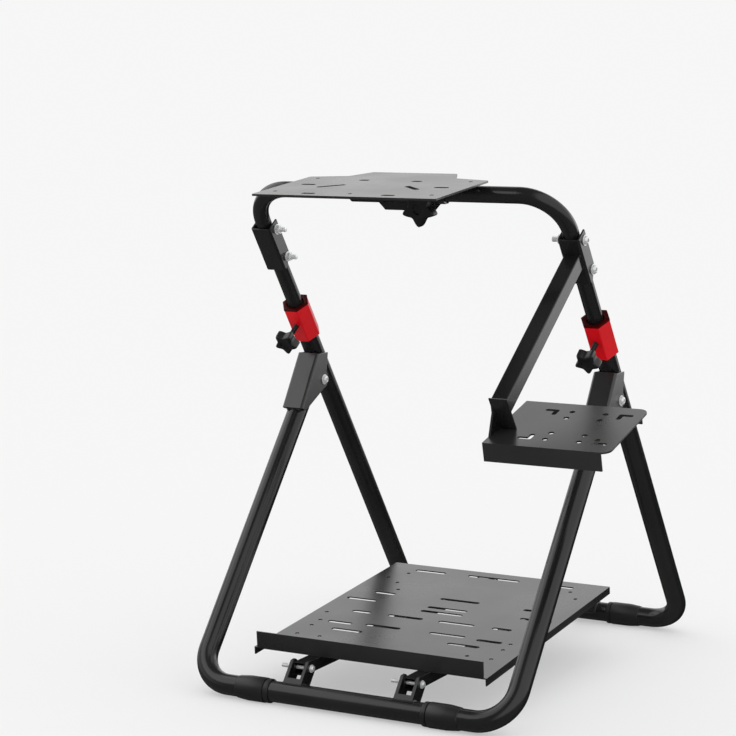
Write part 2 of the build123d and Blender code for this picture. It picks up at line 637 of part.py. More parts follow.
# Plate coordinates start at the front edge of the plate's top, under the arm's middle
ARM_TIP = REAR.from_local_coords(Vector(HALF, ARM_ALONG, ARM_END))
SHIFTER_TURN = radians(SHIFTER_TILT)
SHIFTER_Y = ARM_TIP.Y - ARM_END_SETBACK * cos(SHIFTER_TURN) + ARM_END_HEIGHT * sin(SHIFTER_TURN)
SHIFTER_Z = ARM_TIP.Z - ARM_END_SETBACK * sin(SHIFTER_TURN) - ARM_END_HEIGHT * cos(SHIFTER_TURN)
SHIFTER = tilted(SHIFTER_Y, SHIFTER_Z, SHIFTER_TILT, x=HALF)
BRACKET_HALF = ARM_SIZE / 2 + SHEET_FIT + SHIFTER_BRACKET_SHEET
# Slots and holes from the pattern's middle, repeated in its four quarters
SHIFTER_SLOTS = [(55.5, 50.0, 21.0, 0.0), (48.5, 44.0, 19.0, 90.0)]
SHIFTER_HOLES = [(25.0, 27.0), (25.0, 49.0)]


def shifter_plate():
    low = (Align.MIN, Align.MIN, Align.MAX)
    plate = Box(SHIFTER_WIDTH, SHIFTER_DEPTH, SHIFTER_SHEET, align=low)
    outer_edges = plate.edges().filter_by(Axis.Z).sort_by(Axis.X)[-2:]
    plate = fillet(outer_edges, SHIFTER_CORNER_R)
    flange_width = SHIFTER_WIDTH - SHIFTER_FLANGE_SHORT
    rear = SHIFTER_DEPTH - SHIFTER_SHEET
    plate += Box(flange_width, SHIFTER_SHEET, SHIFTER_FLANGE, align=low)
    plate += Pos(0, rear, 0) * Box(flange_width, SHIFTER_SHEET, SHIFTER_REAR_FLANGE, align=low)
    plate += Box(SHIFTER_SHEET, SHIFTER_SIDE_FLANGE, SHIFTER_FLANGE, align=low)
    cuts = []
    for side in SIDES.values():
        for x, y, length, turn in mirrored(SHIFTER_SLOTS):
            cuts.append(slot_cut(x, side * y, length, 2 * SHIFTER_SHEET, turn, SHIFTER_SLOT_W))
        for x, y in mirrored(SHIFTER_HOLES):
            cuts.append(hole_cut(x, side * y, 2 * SHIFTER_SHEET, SHIFTER_HOLE_D))
    for cut in cuts:
        plate -= Pos(SHIFTER_PATTERN_X, SHIFTER_PATTERN_Y, 0) * cut
    return Pos(-BRACKET_HALF, 0, 0) * plate


def shifter_bracket():
    """Plate welded to the arm's end, and a cheek beside the arm that spreads to a toe on its plate."""
    turn = radians(REAR_TILT - SHIFTER_TILT)
    slope = tan(turn)
    low_y = ARM_END_SETBACK + ARM_SIZE / 2 * sin(turn) - SHEET_FIT
    low_z = ARM_END_HEIGHT - ARM_SIZE / 2 * cos(turn)
    top_z = ARM_END_HEIGHT + ARM_SIZE / 2 * cos(turn)
    sheet = SHIFTER_BRACKET_SHEET / cos(turn)

    def end_face(z):
        return low_y + (low_z - z) * slope

    web = outline([
        (end_face(0), 0), (end_face(top_z), top_z),
        (end_face(top_z) - sheet, top_z), (end_face(0) - sheet, 0),
    ])
    waist = low_y - SHIFTER_CHEEK_NECK
    heel = low_y + SHIFTER_CHEEK_BACK
    cheek = outline([
        (low_y - SHIFTER_CHEEK_TOE, 0), ((low_y - SHIFTER_CHEEK_TOE + waist) / 2, low_z / 2), (waist, low_z),
        (waist, low_z + ARM_SIZE / 2), (low_y, low_z + ARM_SIZE / 2 + SHIFTER_CHEEK_NECK * slope),
        (heel, low_z + SHIFTER_CHEEK_TOP), (heel, 0),
    ])
    left = SHIFTER_BRACKET_SHEET / 2 - BRACKET_HALF
    right = ARM_SIZE / 2
    body = Pos(left, 0, 0) * across(cheek, SHIFTER_BRACKET_SHEET)
    return body + Pos((right - BRACKET_HALF) / 2, 0, 0) * across(web, right + BRACKET_HALF)


parts["shifter_plate"] = place(SHIFTER, shifter_plate())
parts["shifter_bracket"] = place(SHIFTER, shifter_bracket())

os.makedirs("parts", exist_ok=True)
for node, shape in parts.items():
    export_step(shape, f"parts/{node}.step")
print(f"{len(parts)} pieces written")
print(f"fold pivot y {PIVOT.Y:.2f} z {PIVOT.Z:.2f}")
print(f"fold {FOLD_ANGLE:.2f} deg, deck ratio {DECK_FOLD_RATIO:.5f}")
print(f"front pins y {FRONT_PIN_Y:.2f} z {RAIL_PIN_Z:.2f}, top tube y {TOP.Y:.2f} z {TOP.Z:.2f}")
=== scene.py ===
# %% [markdown]
# # A folding racing wheel stand
# The imported CAD model already has every tube, plate and hinge in its place, so this lesson dresses it.
# It adds what a drawing office leaves out: paint, plating, moulded plastic, weld beads, threads and
# soft edges. We load the frame first.

# %% Load the frame
import json
import math

import bmesh
import bpy
from mathutils import Matrix, Vector


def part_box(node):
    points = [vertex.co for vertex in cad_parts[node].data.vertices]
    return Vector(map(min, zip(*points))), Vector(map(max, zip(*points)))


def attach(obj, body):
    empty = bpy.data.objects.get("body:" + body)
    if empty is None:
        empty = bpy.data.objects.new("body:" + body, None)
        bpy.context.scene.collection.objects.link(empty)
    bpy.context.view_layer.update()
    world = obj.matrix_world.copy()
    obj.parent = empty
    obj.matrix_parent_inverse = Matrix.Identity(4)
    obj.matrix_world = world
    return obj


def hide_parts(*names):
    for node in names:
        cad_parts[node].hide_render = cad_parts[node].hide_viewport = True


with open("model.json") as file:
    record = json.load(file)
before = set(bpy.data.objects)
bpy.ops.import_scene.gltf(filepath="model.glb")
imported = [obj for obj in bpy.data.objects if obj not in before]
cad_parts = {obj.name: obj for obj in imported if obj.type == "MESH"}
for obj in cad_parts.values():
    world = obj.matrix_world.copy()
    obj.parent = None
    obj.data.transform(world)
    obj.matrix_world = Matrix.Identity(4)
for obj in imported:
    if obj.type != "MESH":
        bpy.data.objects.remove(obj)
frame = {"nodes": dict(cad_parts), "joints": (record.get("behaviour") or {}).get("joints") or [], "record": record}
nodes = frame["nodes"]
joints = {joint["name"]: joint for joint in frame["joints"]}
mounts = {mount["name"]: mount for mount in frame["record"]["mounts"]}
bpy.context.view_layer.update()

# %% [markdown]
# ## Directions to build along
# The rear legs lean towards the driver, so bolts and welds on them are easiest to place in leaning
# coordinates. We could type the angles again, but the joints already hold them: the height slide runs
# up the legs, and the height knobs point straight at the driver. A spot on a leg is then a distance
# along it and a distance out of it.

# %% Leaning coordinates
MM = 0.001
ACROSS = Vector((1, 0, 0))
UP_LEG = Vector(joints["height_slide"]["axis"])
OUT_OF_LEG = Vector(joints["left_height_knob_turn"]["axis"])
SIDES = {"left": -1, "right": 1}
ROWS = ("front", "rear")


def middle(node):
    """Middle of a CAD node's box."""
    low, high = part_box(node)
    return (low + high) / 2


REAR_TUBE = middle("rear_cross_tube")
LEG_X = middle("right_pivot_lug").x


def leg_spot(x, along, out):
    """Point at x metres across, and so many metres up the rear leg and out of it towards the driver."""
    return Vector((x, REAR_TUBE.y, REAR_TUBE.z)) + UP_LEG * along + OUT_OF_LEG * out


print("leg lean", round(math.degrees(math.acos(UP_LEG.z)), 2), "degrees")

# %% [markdown]
# ## Measuring the CAD pieces
# New pieces must sit on the old ones, so their places are measured and not typed. The box of a leaning
# piece says little, but the reach of its corners along any direction we like says where it really
# starts and ends.

# %% Reach along a direction


def reach(node, direction, origin):
    """Least and greatest distance of a CAD node's corners from an origin, along a direction."""
    steps = [(vertex.co - origin).dot(direction) for vertex in nodes[node].data.vertices]
    return min(steps), max(steps)


def axes_at(origin, x_axis, y_axis):
    """Matrix with those two axes, and the third square to both."""
    z_axis = x_axis.cross(y_axis).normalized()
    turn = Matrix((x_axis, y_axis, z_axis)).transposed().to_4x4()
    return Matrix.Translation(origin) @ turn


def width_of(node):
    """Width of a CAD node across the stand, in millimetres."""
    low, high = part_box(node)
    return (high.x - low.x) / MM


COLLAR_TOP = reach("right_collar", UP_LEG, REAR_TUBE)[1]
CLAMP_LOW, CLAMP_TOP = reach("right_shifter_clamp", UP_LEG, REAR_TUBE)
print("collar top", round(COLLAR_TOP / MM, 1), "mm up the leg")
print("clamps from", round(CLAMP_LOW / MM, 1), "to", round(CLAMP_TOP / MM, 1), "mm")

# %% [markdown]
# ## The photograph's view
# A camera far away with a long lens keeps the legs nearly parallel, as in a catalogue picture.
# Its place and lens were fitted to the tube outlines, so the render can be laid over the photograph.

# %% Camera
CAMERA_PLACE = Vector((1.5264, -3.1309, 0.9223))
CAMERA_LOOK = Vector((-0.46916, 0.87388, -0.12741))
LENS_MM = 108.16
SENSOR_MM = 36.0

camera_data = bpy.data.cameras.new("photo_camera")
camera_data.lens = LENS_MM
camera_data.sensor_width = SENSOR_MM
camera = bpy.data.objects.new("photo_camera", camera_data)
camera.location = CAMERA_PLACE
camera.rotation_mode = "QUATERNION"
camera.rotation_quaternion = CAMERA_LOOK.to_track_quat("-Z", "Y")
bpy.context.scene.collection.objects.link(camera)
bpy.context.scene.camera = camera
print("camera", [round(v, 3) for v in camera.location], "lens", LENS_MM)

# %% [markdown]
# ## Small helpers for shader nodes
# A shader is a graph, and wiring it by hand is wordy. A few helpers keep the materials readable: they
# add a node and fill its inputs, mix two colours, stretch a value, and make a node group that several
# materials can share.

# %% Node helpers


def fill(tree, socket, value):
    """Links a socket's value, or writes a plain one."""
    if isinstance(value, bpy.types.NodeSocket):
        tree.links.new(value, socket)
    else:
        socket.default_value = value


def add(tree, kind, **values):
    """New node in a tree, with each value filled into the input of that name."""
    node = tree.nodes.new(kind)
    for name, value in values.items():
        fill(tree, node.inputs[name.replace("_", " ")], value)
    return node


def sum_up(tree, operation, first, second=0.0, third=0.0):
    """Output of a Math node."""
    node = tree.nodes.new("ShaderNodeMath")
    node.operation = operation
    for socket, value in zip(node.inputs, (first, second, third)):
        fill(tree, socket, value)
    return node.outputs[0]


def ramp(tree, value, low, high):
    """Value stretched so that low becomes 0 and high becomes 1, and smoothed between them."""
    node = add(tree, "ShaderNodeMapRange", Value=value, From_Min=low, From_Max=high)
    node.interpolation_type = "SMOOTHSTEP"
    return node.outputs["Result"]


def between(tree, value, low, high):
    """Value from 0 to 1 turned into one from low to high."""
    return add(tree, "ShaderNodeMapRange", Value=value, To_Min=low, To_Max=high).outputs["Result"]


def tint(tree, share, first, second):
    """Colour between first and second."""
    node = tree.nodes.new("ShaderNodeMix")
    node.data_type = "RGBA"
    for socket, value in ((node.inputs[0], share), (node.inputs[6], first), (node.inputs[7], second)):
        fill(tree, socket, value)
    return node.outputs[2]


def grey(value):
    return (value, value, value, 1.0)


print("node helpers ready")

# %% Group and material helpers


def new_group(name, inputs, outputs):
    """Empty node group with float inputs (name, default) and float outputs."""
    group = bpy.data.node_groups.new(name, "ShaderNodeTree")
    for label, default in inputs:
        socket = group.interface.new_socket(label, in_out="INPUT", socket_type="NodeSocketFloat")
        socket.default_value = default
    for label in outputs:
        group.interface.new_socket(label, in_out="OUTPUT", socket_type="NodeSocketFloat")
    return group, group.nodes.new("NodeGroupInput"), group.nodes.new("NodeGroupOutput")


def place_group(tree, group, **values):
    """Group placed in a material, with its own values."""
    node = tree.nodes.new("ShaderNodeGroup")
    node.node_tree = group
    for name, value in values.items():
        node.inputs[name.replace("_", " ")].default_value = value
    return node


def new_finish(name):
    """New material, its node tree and its shader."""
    material = bpy.data.materials.new(name)
    material.use_nodes = True
    return material, material.node_tree, material.node_tree.nodes["Principled BSDF"]


def roughen(tree, shader, height, strength, depth):
    """Bump of a shader's surface from a height, so many metres deep."""
    bump = add(tree, "ShaderNodeBump", Height=height, Strength=strength, Distance=depth)
    tree.links.new(bump.outputs["Normal"], shader.inputs["Normal"])


print("group helpers ready")

# %% [markdown]
# ## Powder coat
# Powder coat melts into a skin with a fine, even ripple, and thick and thin patches shine a little
# differently. A picture of such a skin would stretch at the bends, so two noises in object space are
# used: one about a millimetre across for the ripple, and one as wide as a hand for the patches.

# %% Powder coat group
PATCH_RANGE = (0.3, 0.7)


def powder_coat_group():
    inputs = (("Grain", 900.0), ("Patch", 9.0))
    group, inside, outside = new_group("powder_coat", inputs, ("Ripple", "Patches"))
    place = group.nodes.new("ShaderNodeTexCoord").outputs["Object"]
    grain = add(group, "ShaderNodeTexNoise", Vector=place, Scale=inside.outputs["Grain"], Detail=2.0)
    patch = add(group, "ShaderNodeTexNoise", Vector=place, Scale=inside.outputs["Patch"], Detail=4.0)
    group.links.new(grain.outputs["Fac"], outside.inputs["Ripple"])
    group.links.new(ramp(group, patch.outputs["Fac"], *PATCH_RANGE), outside.inputs["Patches"])
    return group


POWDER_COAT = powder_coat_group()
print("group", POWDER_COAT.name)

# %% [markdown]
# ## Rubbed edges and painted sheen
# Coating draws thin over a sharp edge and gets rubbed there. The edge colour is also a painted highlight, a sheen
# where edges would catch the light. The Bevel node bends the normal near an edge; where it differs from the true
# normal, we are close to one.

# %% Edge wear and sheen group
EDGE_RANGE = (0.01, 0.12)
BREAKUP_RANGE = (0.35, 0.65)


def edge_wear_and_sheen_group():
    inputs = (("Width", 0.0012), ("Breakup", 160.0))
    group, inside, outside = new_group("edge_wear_and_sheen", inputs, ("Wear and sheen",))
    bent = add(group, "ShaderNodeBevel", Radius=inside.outputs["Width"])
    true_normal = group.nodes.new("ShaderNodeNewGeometry").outputs["Normal"]
    facing = group.nodes.new("ShaderNodeVectorMath")
    facing.operation = "DOT_PRODUCT"
    group.links.new(bent.outputs["Normal"], facing.inputs[0])
    group.links.new(true_normal, facing.inputs[1])
    edge = ramp(group, sum_up(group, "SUBTRACT", 1.0, facing.outputs["Value"]), *EDGE_RANGE)
    place = group.nodes.new("ShaderNodeTexCoord").outputs["Object"]
    noise = add(group, "ShaderNodeTexNoise", Vector=place, Scale=inside.outputs["Breakup"], Detail=3.0)
    broken = sum_up(group, "MULTIPLY", edge, ramp(group, noise.outputs["Fac"], *BREAKUP_RANGE))
    group.links.new(broken, outside.inputs["Wear and sheen"])
    return group


EDGE_WEAR_AND_SHEEN = edge_wear_and_sheen_group()
print("group", EDGE_WEAR_AND_SHEEN.name)

# %% [markdown]
# ## Settled dust
# Flat decks gather a thin film of dust, which dulls the shine before it can be seen as colour. The mask
# is the upward part of the normal, broken up by a noise, so undersides and walls stay clean.

# %% Settled dust group
UPWARD_RANGE = (0.6, 1.0)
FILM_RANGE = (0.25, 0.8)


def settled_dust_group():
    group, inside, outside = new_group("settled_dust", (("Patch", 14.0),), ("Dust",))
    normal = group.nodes.new("ShaderNodeNewGeometry").outputs["Normal"]
    upward = add(group, "ShaderNodeSeparateXYZ", Vector=normal).outputs["Z"]
    place = group.nodes.new("ShaderNodeTexCoord").outputs["Object"]
    noise = add(group, "ShaderNodeTexNoise", Vector=place, Scale=inside.outputs["Patch"], Detail=6.0)
    patchy = ramp(group, noise.outputs["Fac"], *FILM_RANGE)
    film = sum_up(group, "MULTIPLY", ramp(group, upward, *UPWARD_RANGE), patchy)
    group.links.new(film, outside.inputs["Dust"])
    return group


SETTLED_DUST = settled_dust_group()
print("group", SETTLED_DUST.name)

# %% [markdown]
# ## The black finishes
# Everything black is the same kind of thing, a dark colour under a clear shine, so one function makes
# them all. What differs is how rough the skin is, how coarse its ripple is and how much the edges have
# been rubbed and painted lighter, which is partly wear and partly a painted highlight. The decks look
# grey in the photograph only because they mirror the pale room at a low angle.

# %% Black finishes
PATCH_LIFT = 1.35
DUST_COLOUR = (0.36, 0.35, 0.33, 1.0)
DUST_DULLS = 0.5
RIPPLE_DEPTH = 0.0004


def coated(name, colour, wear_and_sheen_colour, roughness, grain, ripple, wear_and_sheen, dust, clear=0.0):
    """Coated or moulded black surface. Its roughness is that of smooth and of dull patches."""
    material, tree, shader = new_finish(name)
    shader.inputs["Coat Weight"].default_value = clear
    shader.inputs["Coat Roughness"].default_value = roughness[0]
    coat = place_group(tree, POWDER_COAT, Grain=grain)
    edge = place_group(tree, EDGE_WEAR_AND_SHEEN)
    film = place_group(tree, SETTLED_DUST)
    worn_and_sheen = sum_up(tree, "MULTIPLY", edge.outputs["Wear and sheen"], wear_and_sheen)
    dusty = sum_up(tree, "MULTIPLY", film.outputs["Dust"], dust)
    body = tint(tree, coat.outputs["Patches"], grey(colour), grey(colour * PATCH_LIFT))
    # Lighter colour at the edges: partly worn coat, partly a painted highlight.
    body = tint(tree, worn_and_sheen, body, grey(wear_and_sheen_colour))
    body = tint(tree, dusty, body, DUST_COLOUR)
    tree.links.new(body, shader.inputs["Base Color"])
    shine = between(tree, coat.outputs["Patches"], *roughness)
    dulled = sum_up(tree, "MULTIPLY_ADD", dusty, DUST_DULLS, shine)
    tree.links.new(dulled, shader.inputs["Roughness"])
    roughen(tree, shader, coat.outputs["Ripple"], ripple, RIPPLE_DEPTH)
    return material


TUBE_BLACK = coated("tube_black", colour=0.009, wear_and_sheen_colour=0.05, roughness=(0.16, 0.22),
                    grain=700.0, ripple=0.03, wear_and_sheen=0.30, dust=0.006)
SHEET_BLACK = coated("sheet_black", colour=0.014, wear_and_sheen_colour=0.06, roughness=(0.26, 0.33),
                     grain=1100.0, ripple=0.03, wear_and_sheen=0.40, dust=0.015, clear=0.45)
FOOT_BLACK = coated("foot_black", colour=0.008, wear_and_sheen_colour=0.03, roughness=(0.36, 0.46),
                    grain=1600.0, ripple=0.14, wear_and_sheen=0.30, dust=0.01)
KNOB_BLACK = coated("knob_black", colour=0.006, wear_and_sheen_colour=0.03, roughness=(0.30, 0.40),
                    grain=1900.0, ripple=0.16, wear_and_sheen=0.30, dust=0.01)
print("black finishes", TUBE_BLACK.name, SHEET_BLACK.name, FOOT_BLACK.name, KNOB_BLACK.name)

# %% [markdown]
# ## The red collars
# The collars are the one bright thing on the stand: smooth red with soft highlights along their edges,
# partly from their rounded edges and partly painted on as a lighter red. A slightly deeper red in patches
# keeps them from looking like a flat swatch. The caps on top of them are painted shade: a red so dark
# that it is nearly black, with hardly any shine, standing for the shaded inside of the collars.

# %% Red finishes
RED_GRAIN = 1300.0
RED_PATCH = 30.0
RED_EDGE = 0.0016
RED_WEAR_AND_SHEEN = 0.3
RED_ROUGHNESS = (0.28, 0.38)
RED_RIPPLE = 0.08
RED_RIPPLE_DEPTH = 0.0003


def red_finish(name, light, deep, wear_and_sheen_tint, shine):
    """Red surface between a light and a deep colour, with its own colour at the edges, partly wear and partly a
    painted highlight.
    """
    material, tree, shader = new_finish(name)
    coat = place_group(tree, POWDER_COAT, Grain=RED_GRAIN, Patch=RED_PATCH)
    edge = place_group(tree, EDGE_WEAR_AND_SHEEN, Width=RED_EDGE)
    body = tint(tree, coat.outputs["Patches"], light, deep)
    worn_and_sheen = sum_up(tree, "MULTIPLY", edge.outputs["Wear and sheen"], RED_WEAR_AND_SHEEN)
    # Edges take a lighter colour: partly worn coat, partly a painted highlight.
    body = tint(tree, worn_and_sheen, body, wear_and_sheen_tint)
    tree.links.new(body, shader.inputs["Base Color"])
    tree.links.new(between(tree, coat.outputs["Patches"], *RED_ROUGHNESS), shader.inputs["Roughness"])
    shader.inputs["Specular IOR Level"].default_value = shine
    roughen(tree, shader, coat.outputs["Ripple"], RED_RIPPLE, RED_RIPPLE_DEPTH)
    return material


BRIGHT_RED = (0.72, 0.004, 0.010, 1.0)
DEEP_RED = (0.62, 0.003, 0.008, 1.0)
# Lighter red at the edges: partly wear, partly a painted highlight.
WORN_AND_SHEEN_RED = (0.80, 0.06, 0.06, 1.0)
# The caps' very dark reds are painted shade for the shaded inside of the collars, and their edge colour is a
# painted sheen on that shade.
SHADE_RED = (0.055, 0.0008, 0.0012, 1.0)
DEEPER_SHADE_RED = (0.042, 0.0006, 0.0010, 1.0)
WORN_AND_SHEEN_SHADE_RED = (0.12, 0.006, 0.008, 1.0)
COLLAR_RED = red_finish("collar_red", BRIGHT_RED, DEEP_RED, WORN_AND_SHEEN_RED, shine=0.3)
PAINTED_SHADE_RED = red_finish("painted_shade_cap_red", SHADE_RED, DEEPER_SHADE_RED, WORN_AND_SHEEN_SHADE_RED, shine=0.06)
print("red finishes", COLLAR_RED.name, PAINTED_SHADE_RED.name)

# %% [markdown]
# ## Zinc-plated steel
# The bolts are bright zinc: a metal with fine turning lines and a faint cloudiness. The lines are a
# noise squeezed along the bolt. Nearly all bolts lie across the stand, so the same squeeze serves them.

# %% Zinc finish
ZINC_METAL = 0.5
TURNING_LINES = (2600.0, 260.0, 260.0)
ZINC_CLOUD = 120.0
ZINC_BRIGHT = (0.88, 0.88, 0.88, 1.0)
ZINC_CLOUDY = (0.74, 0.75, 0.76, 1.0)
ZINC_ROUGHNESS = (0.22, 0.42)
LINE_STRENGTH = 0.12
LINE_DEPTH = 0.0001


def zinc_plate():
    material, tree, shader = new_finish("zinc_plate")
    shader.inputs["Metallic"].default_value = ZINC_METAL
    place = tree.nodes.new("ShaderNodeTexCoord").outputs["Object"]
    squeezed = add(tree, "ShaderNodeMapping", Vector=place, Scale=TURNING_LINES).outputs["Vector"]
    lines = add(tree, "ShaderNodeTexNoise", Vector=squeezed, Scale=1.0, Detail=3.0).outputs["Fac"]
    coat = place_group(tree, POWDER_COAT, Patch=ZINC_CLOUD)
    body = tint(tree, coat.outputs["Patches"], ZINC_BRIGHT, ZINC_CLOUDY)
    tree.links.new(body, shader.inputs["Base Color"])
    tree.links.new(between(tree, lines, *ZINC_ROUGHNESS), shader.inputs["Roughness"])
    roughen(tree, shader, lines, LINE_STRENGTH, LINE_DEPTH)
    return material


ZINC = zinc_plate()
print("finish", ZINC.name)

# %% [markdown]
# ## Painting the CAD pieces
# Each CAD node keeps its own shape and takes a finish. Names tell us which: collars are red, feet and
# knobs are moulded, bolts and pins are zinc, folded sheets have the satin coat, and the rest of the
# frame is glossier black tube.

# %% Paint the nodes
SHEETS = ("pedal_deck", "wheel_plate", "shifter_plate", "left_leg_bracket", "right_leg_bracket")


def finish_for(name):
    if name.endswith("_collar"):
        return COLLAR_RED
    if name.endswith("_foot"):
        return FOOT_BLACK
    if name.endswith("_knob"):
        return KNOB_BLACK
    if name.endswith(("_bolt", "_pin")):
        return ZINC
    return SHEET_BLACK if name in SHEETS else TUBE_BLACK


for name, node in nodes.items():
    node.data.materials.clear()
    node.data.materials.append(finish_for(name))
print("painted", len(nodes), "nodes")

# %% [markdown]
# ## Soft edges on folded and cut steel
# A laser-cut sheet is deburred and a bent one has a radius, so no edge of it is razor sharp, and each
# edge draws a thin line of light. The CAD edges are sharp. Modifiers round them without touching the
# mesh: Weld closes the seams, Decimate joins the flat triangles, Bevel rounds what is left and Weighted
# Normal keeps the flats flat.

# %% Soften edges
SOFT_EDGE = {"pedal_deck": 0.7, "wheel_plate": 0.9, "shifter_plate": 0.8, "shifter_bracket": 0.7,
             "shifter_arm": 0.4, "wheel_saddle": 1.2, "wheel_clamp": 0.6}
for side in SIDES:
    for part in ("leg_bracket", "shifter_clamp", "collar", "pivot_lug", "deck_riser"):
        SOFT_EDGE[f"{side}_{part}"] = 0.6
    for row in ROWS:
        SOFT_EDGE[f"{row}_{side}_clevis"] = 0.7
SEAM_GAP = 0.00001
FLAT_ANGLE = math.radians(0.5)
EDGE_ANGLE = math.radians(40)


def soften(node, width):
    """Rounds a CAD node's sharp edges with modifiers."""
    weld = node.modifiers.new("close_seams", "WELD")
    weld.merge_threshold = SEAM_GAP
    flats = node.modifiers.new("join_flats", "DECIMATE")
    flats.decimate_type = "DISSOLVE"
    flats.angle_limit = FLAT_ANGLE
    bevel = node.modifiers.new("round_edges", "BEVEL")
    bevel.width = width * MM
    bevel.segments = 2
    bevel.limit_method = "ANGLE"
    bevel.angle_limit = EDGE_ANGLE
    bevel.use_clamp_overlap = True
    node.modifiers.new("keep_flats", "WEIGHTED_NORMAL")


for name, width in SOFT_EDGE.items():
    soften(nodes[name], width)
print("softened", len(SOFT_EDGE), "nodes")

# %% [markdown]
# ## Small helpers for meshes
# Knobs, bolts, sleeves and beads are all stacks of rings with skin between them. One helper stretches
# the skin and another turns the result into an object that rides on a CAD body and keeps sharp edges
# sharp.

# %% Mesh helpers
CREASE = math.radians(38)


def skin(bm, rings, closed=False):
    """Faces between rings of equally many points. The ends are capped, or joined if closed."""
    rows = [[bm.verts.new(point) for point in ring] for ring in rings]
    pairs = list(zip(rows, rows[1:]))
    if closed:
        pairs.append((rows[-1], rows[0]))
    for low, high in pairs:
        for i in range(len(low)):
            j = (i + 1) % len(low)
            bm.faces.new((low[i], low[j], high[j], high[i]))
    if not closed:
        bm.faces.new(reversed(rows[0]))
        bm.faces.new(rows[-1])


def turned(steps, radius, height):
    """Ring about local z. The radius is a number, or a function that gives it for an angle."""
    radius_at = radius if callable(radius) else lambda angle: radius
    angles = [math.tau * step / steps for step in range(steps)]
    return [Vector((radius_at(a) * math.cos(a), radius_at(a) * math.sin(a), height)) for a in angles]


def new_piece(name, bm, place, finish, body):
    """Object from a bmesh in millimetres, set in place and riding on a CAD body."""
    bmesh.ops.recalc_face_normals(bm, faces=bm.faces)
    mesh = bpy.data.meshes.new(name)
    bm.to_mesh(mesh)
    bm.free()
    mesh.transform(place @ Matrix.Scale(MM, 4))
    mesh.materials.append(finish)
    mesh.shade_smooth()
    mesh.set_sharp_from_angle(angle=CREASE)
    piece = bpy.data.objects.new(name, mesh)
    bpy.context.scene.collection.objects.link(piece)
    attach(piece, body)
    return piece


print("mesh helpers ready")

# %% [markdown]
# ## Star knobs
# Each knob is a moulded star with five pointed lobes on a hub, and a dish in its face where the mould's
# core was. It could be cut from a block, but rings are simpler: the outline is a circle that swells five
# times, the same outline pulled in a little rounds the rims, and plain circles make the hub and the dish.

# %% Star outline
LOBES = 5
KNOB_STEPS = 80
TIP_ROUND = 0.17
HEAD_DEPTH = 17.0
HUB_R = 9.5
HUB_ROUND = 1.0
HUB_FLARE = 0.6
FLARE_BELOW_HEAD = 0.8
DISH_R = 8.0
# Rims of the star: how far the outline is pulled in, and how high above the back or the face.
BACK_RIM = ((4.0, 0.0), (1.2, 0.3), (0.3, 1.2), (0.0, 2.6))
FACE_RIM = ((0.2, -4.2), (0.5, -2.6), (1.3, -1.2), (2.8, -0.3), (4.2, 0.0))
# Rings of the dish: how much wider than the dish, and how high above the face.
DISH_RINGS = ((1.0, -0.2), (0.0, -0.7), (-0.6, -2.6), (-1.6, -3.0))


def star_ring(tip, valley, inset, height):
    """Ring with pointed lobes, one of them towards local -y, pulled in by an inset."""
    def radius(angle):
        from_tip = math.hypot(math.sin(LOBES * (angle + math.pi / 2) / 2), TIP_ROUND)
        return valley + (tip - valley) * (1 - from_tip) / (1 - TIP_ROUND) - inset
    return turned(KNOB_STEPS, radius, height)


def star_knob(tip, valley, hub_depth):
    """Knob about local z with its face at 0."""
    back = -HEAD_DEPTH
    hub_end = back - hub_depth
    rings = [turned(KNOB_STEPS, HUB_R - HUB_ROUND, hub_end),
             turned(KNOB_STEPS, HUB_R, hub_end + HUB_ROUND),
             turned(KNOB_STEPS, HUB_R + HUB_FLARE, back - FLARE_BELOW_HEAD)]
    rings += [star_ring(tip, valley, inset, back + up) for inset, up in BACK_RIM]
    rings += [star_ring(tip, valley, inset, up) for inset, up in FACE_RIM]
    rings += [turned(KNOB_STEPS, DISH_R + wider, up) for wider, up in DISH_RINGS]
    bm = bmesh.new()
    skin(bm, rings)
    return bm


print("star outline of", LOBES, "lobes")

# %% [markdown]
# ## Knobs in place
# The joints say where a knob stands and which way it points, and the CAD knob says how big it is. The
# height knobs get a short hub, so that a length of bare stud shows in front of the collar. The wheel
# knob's hub reaches its clamp.

# %% Knobs in place
SHORT_HUB = 5.0
KNOB_GAP = 0.5
HEIGHT_VALLEY = 0.68
WHEEL_VALLEY = 0.66


def knob_line(name):
    """Axis of a knob's joint and a point on it."""
    joint = joints[f"{name}_turn"]
    return Vector(joint["axis"]), Vector(joint["pos_m"])


def front_of(node, knob):
    """How far a CAD node reaches out along a knob's axis, in millimetres."""
    return reach(node, *knob_line(knob))[1] / MM


def knob_place(name, out):
    """Matrix with z along a knob's axis, so many millimetres out from its joint."""
    axis, origin = knob_line(name)
    return axes_at(origin + axis * out * MM, ACROSS, axis.cross(ACROSS).normalized())


def set_knob(name, valley_share, hub_depth):
    """Star knob in place of a CAD knob, on its joint's axis and of its size."""
    axis, origin = knob_line(name)
    tip = -reach(name, axis.cross(ACROSS).normalized(), origin)[0] / MM
    face = front_of(name, name)
    star = star_knob(tip, tip * valley_share, hub_depth)
    knob = new_piece(f"{name}_star", star, knob_place(name, face), KNOB_BLACK, name)
    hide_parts(name)
    print(name, "radius", round(tip, 1), "face", round(face, 1), "hub", round(hub_depth, 1))


RING_FRONT = front_of("wheel_saddle", "wheel_knob")
WHEEL_HUB = front_of("wheel_knob", "wheel_knob") - HEAD_DEPTH - RING_FRONT - KNOB_GAP
for side in SIDES:
    set_knob(f"{side}_height_knob", HEIGHT_VALLEY, SHORT_HUB)
set_knob("wheel_knob", WHEEL_VALLEY, WHEEL_HUB)

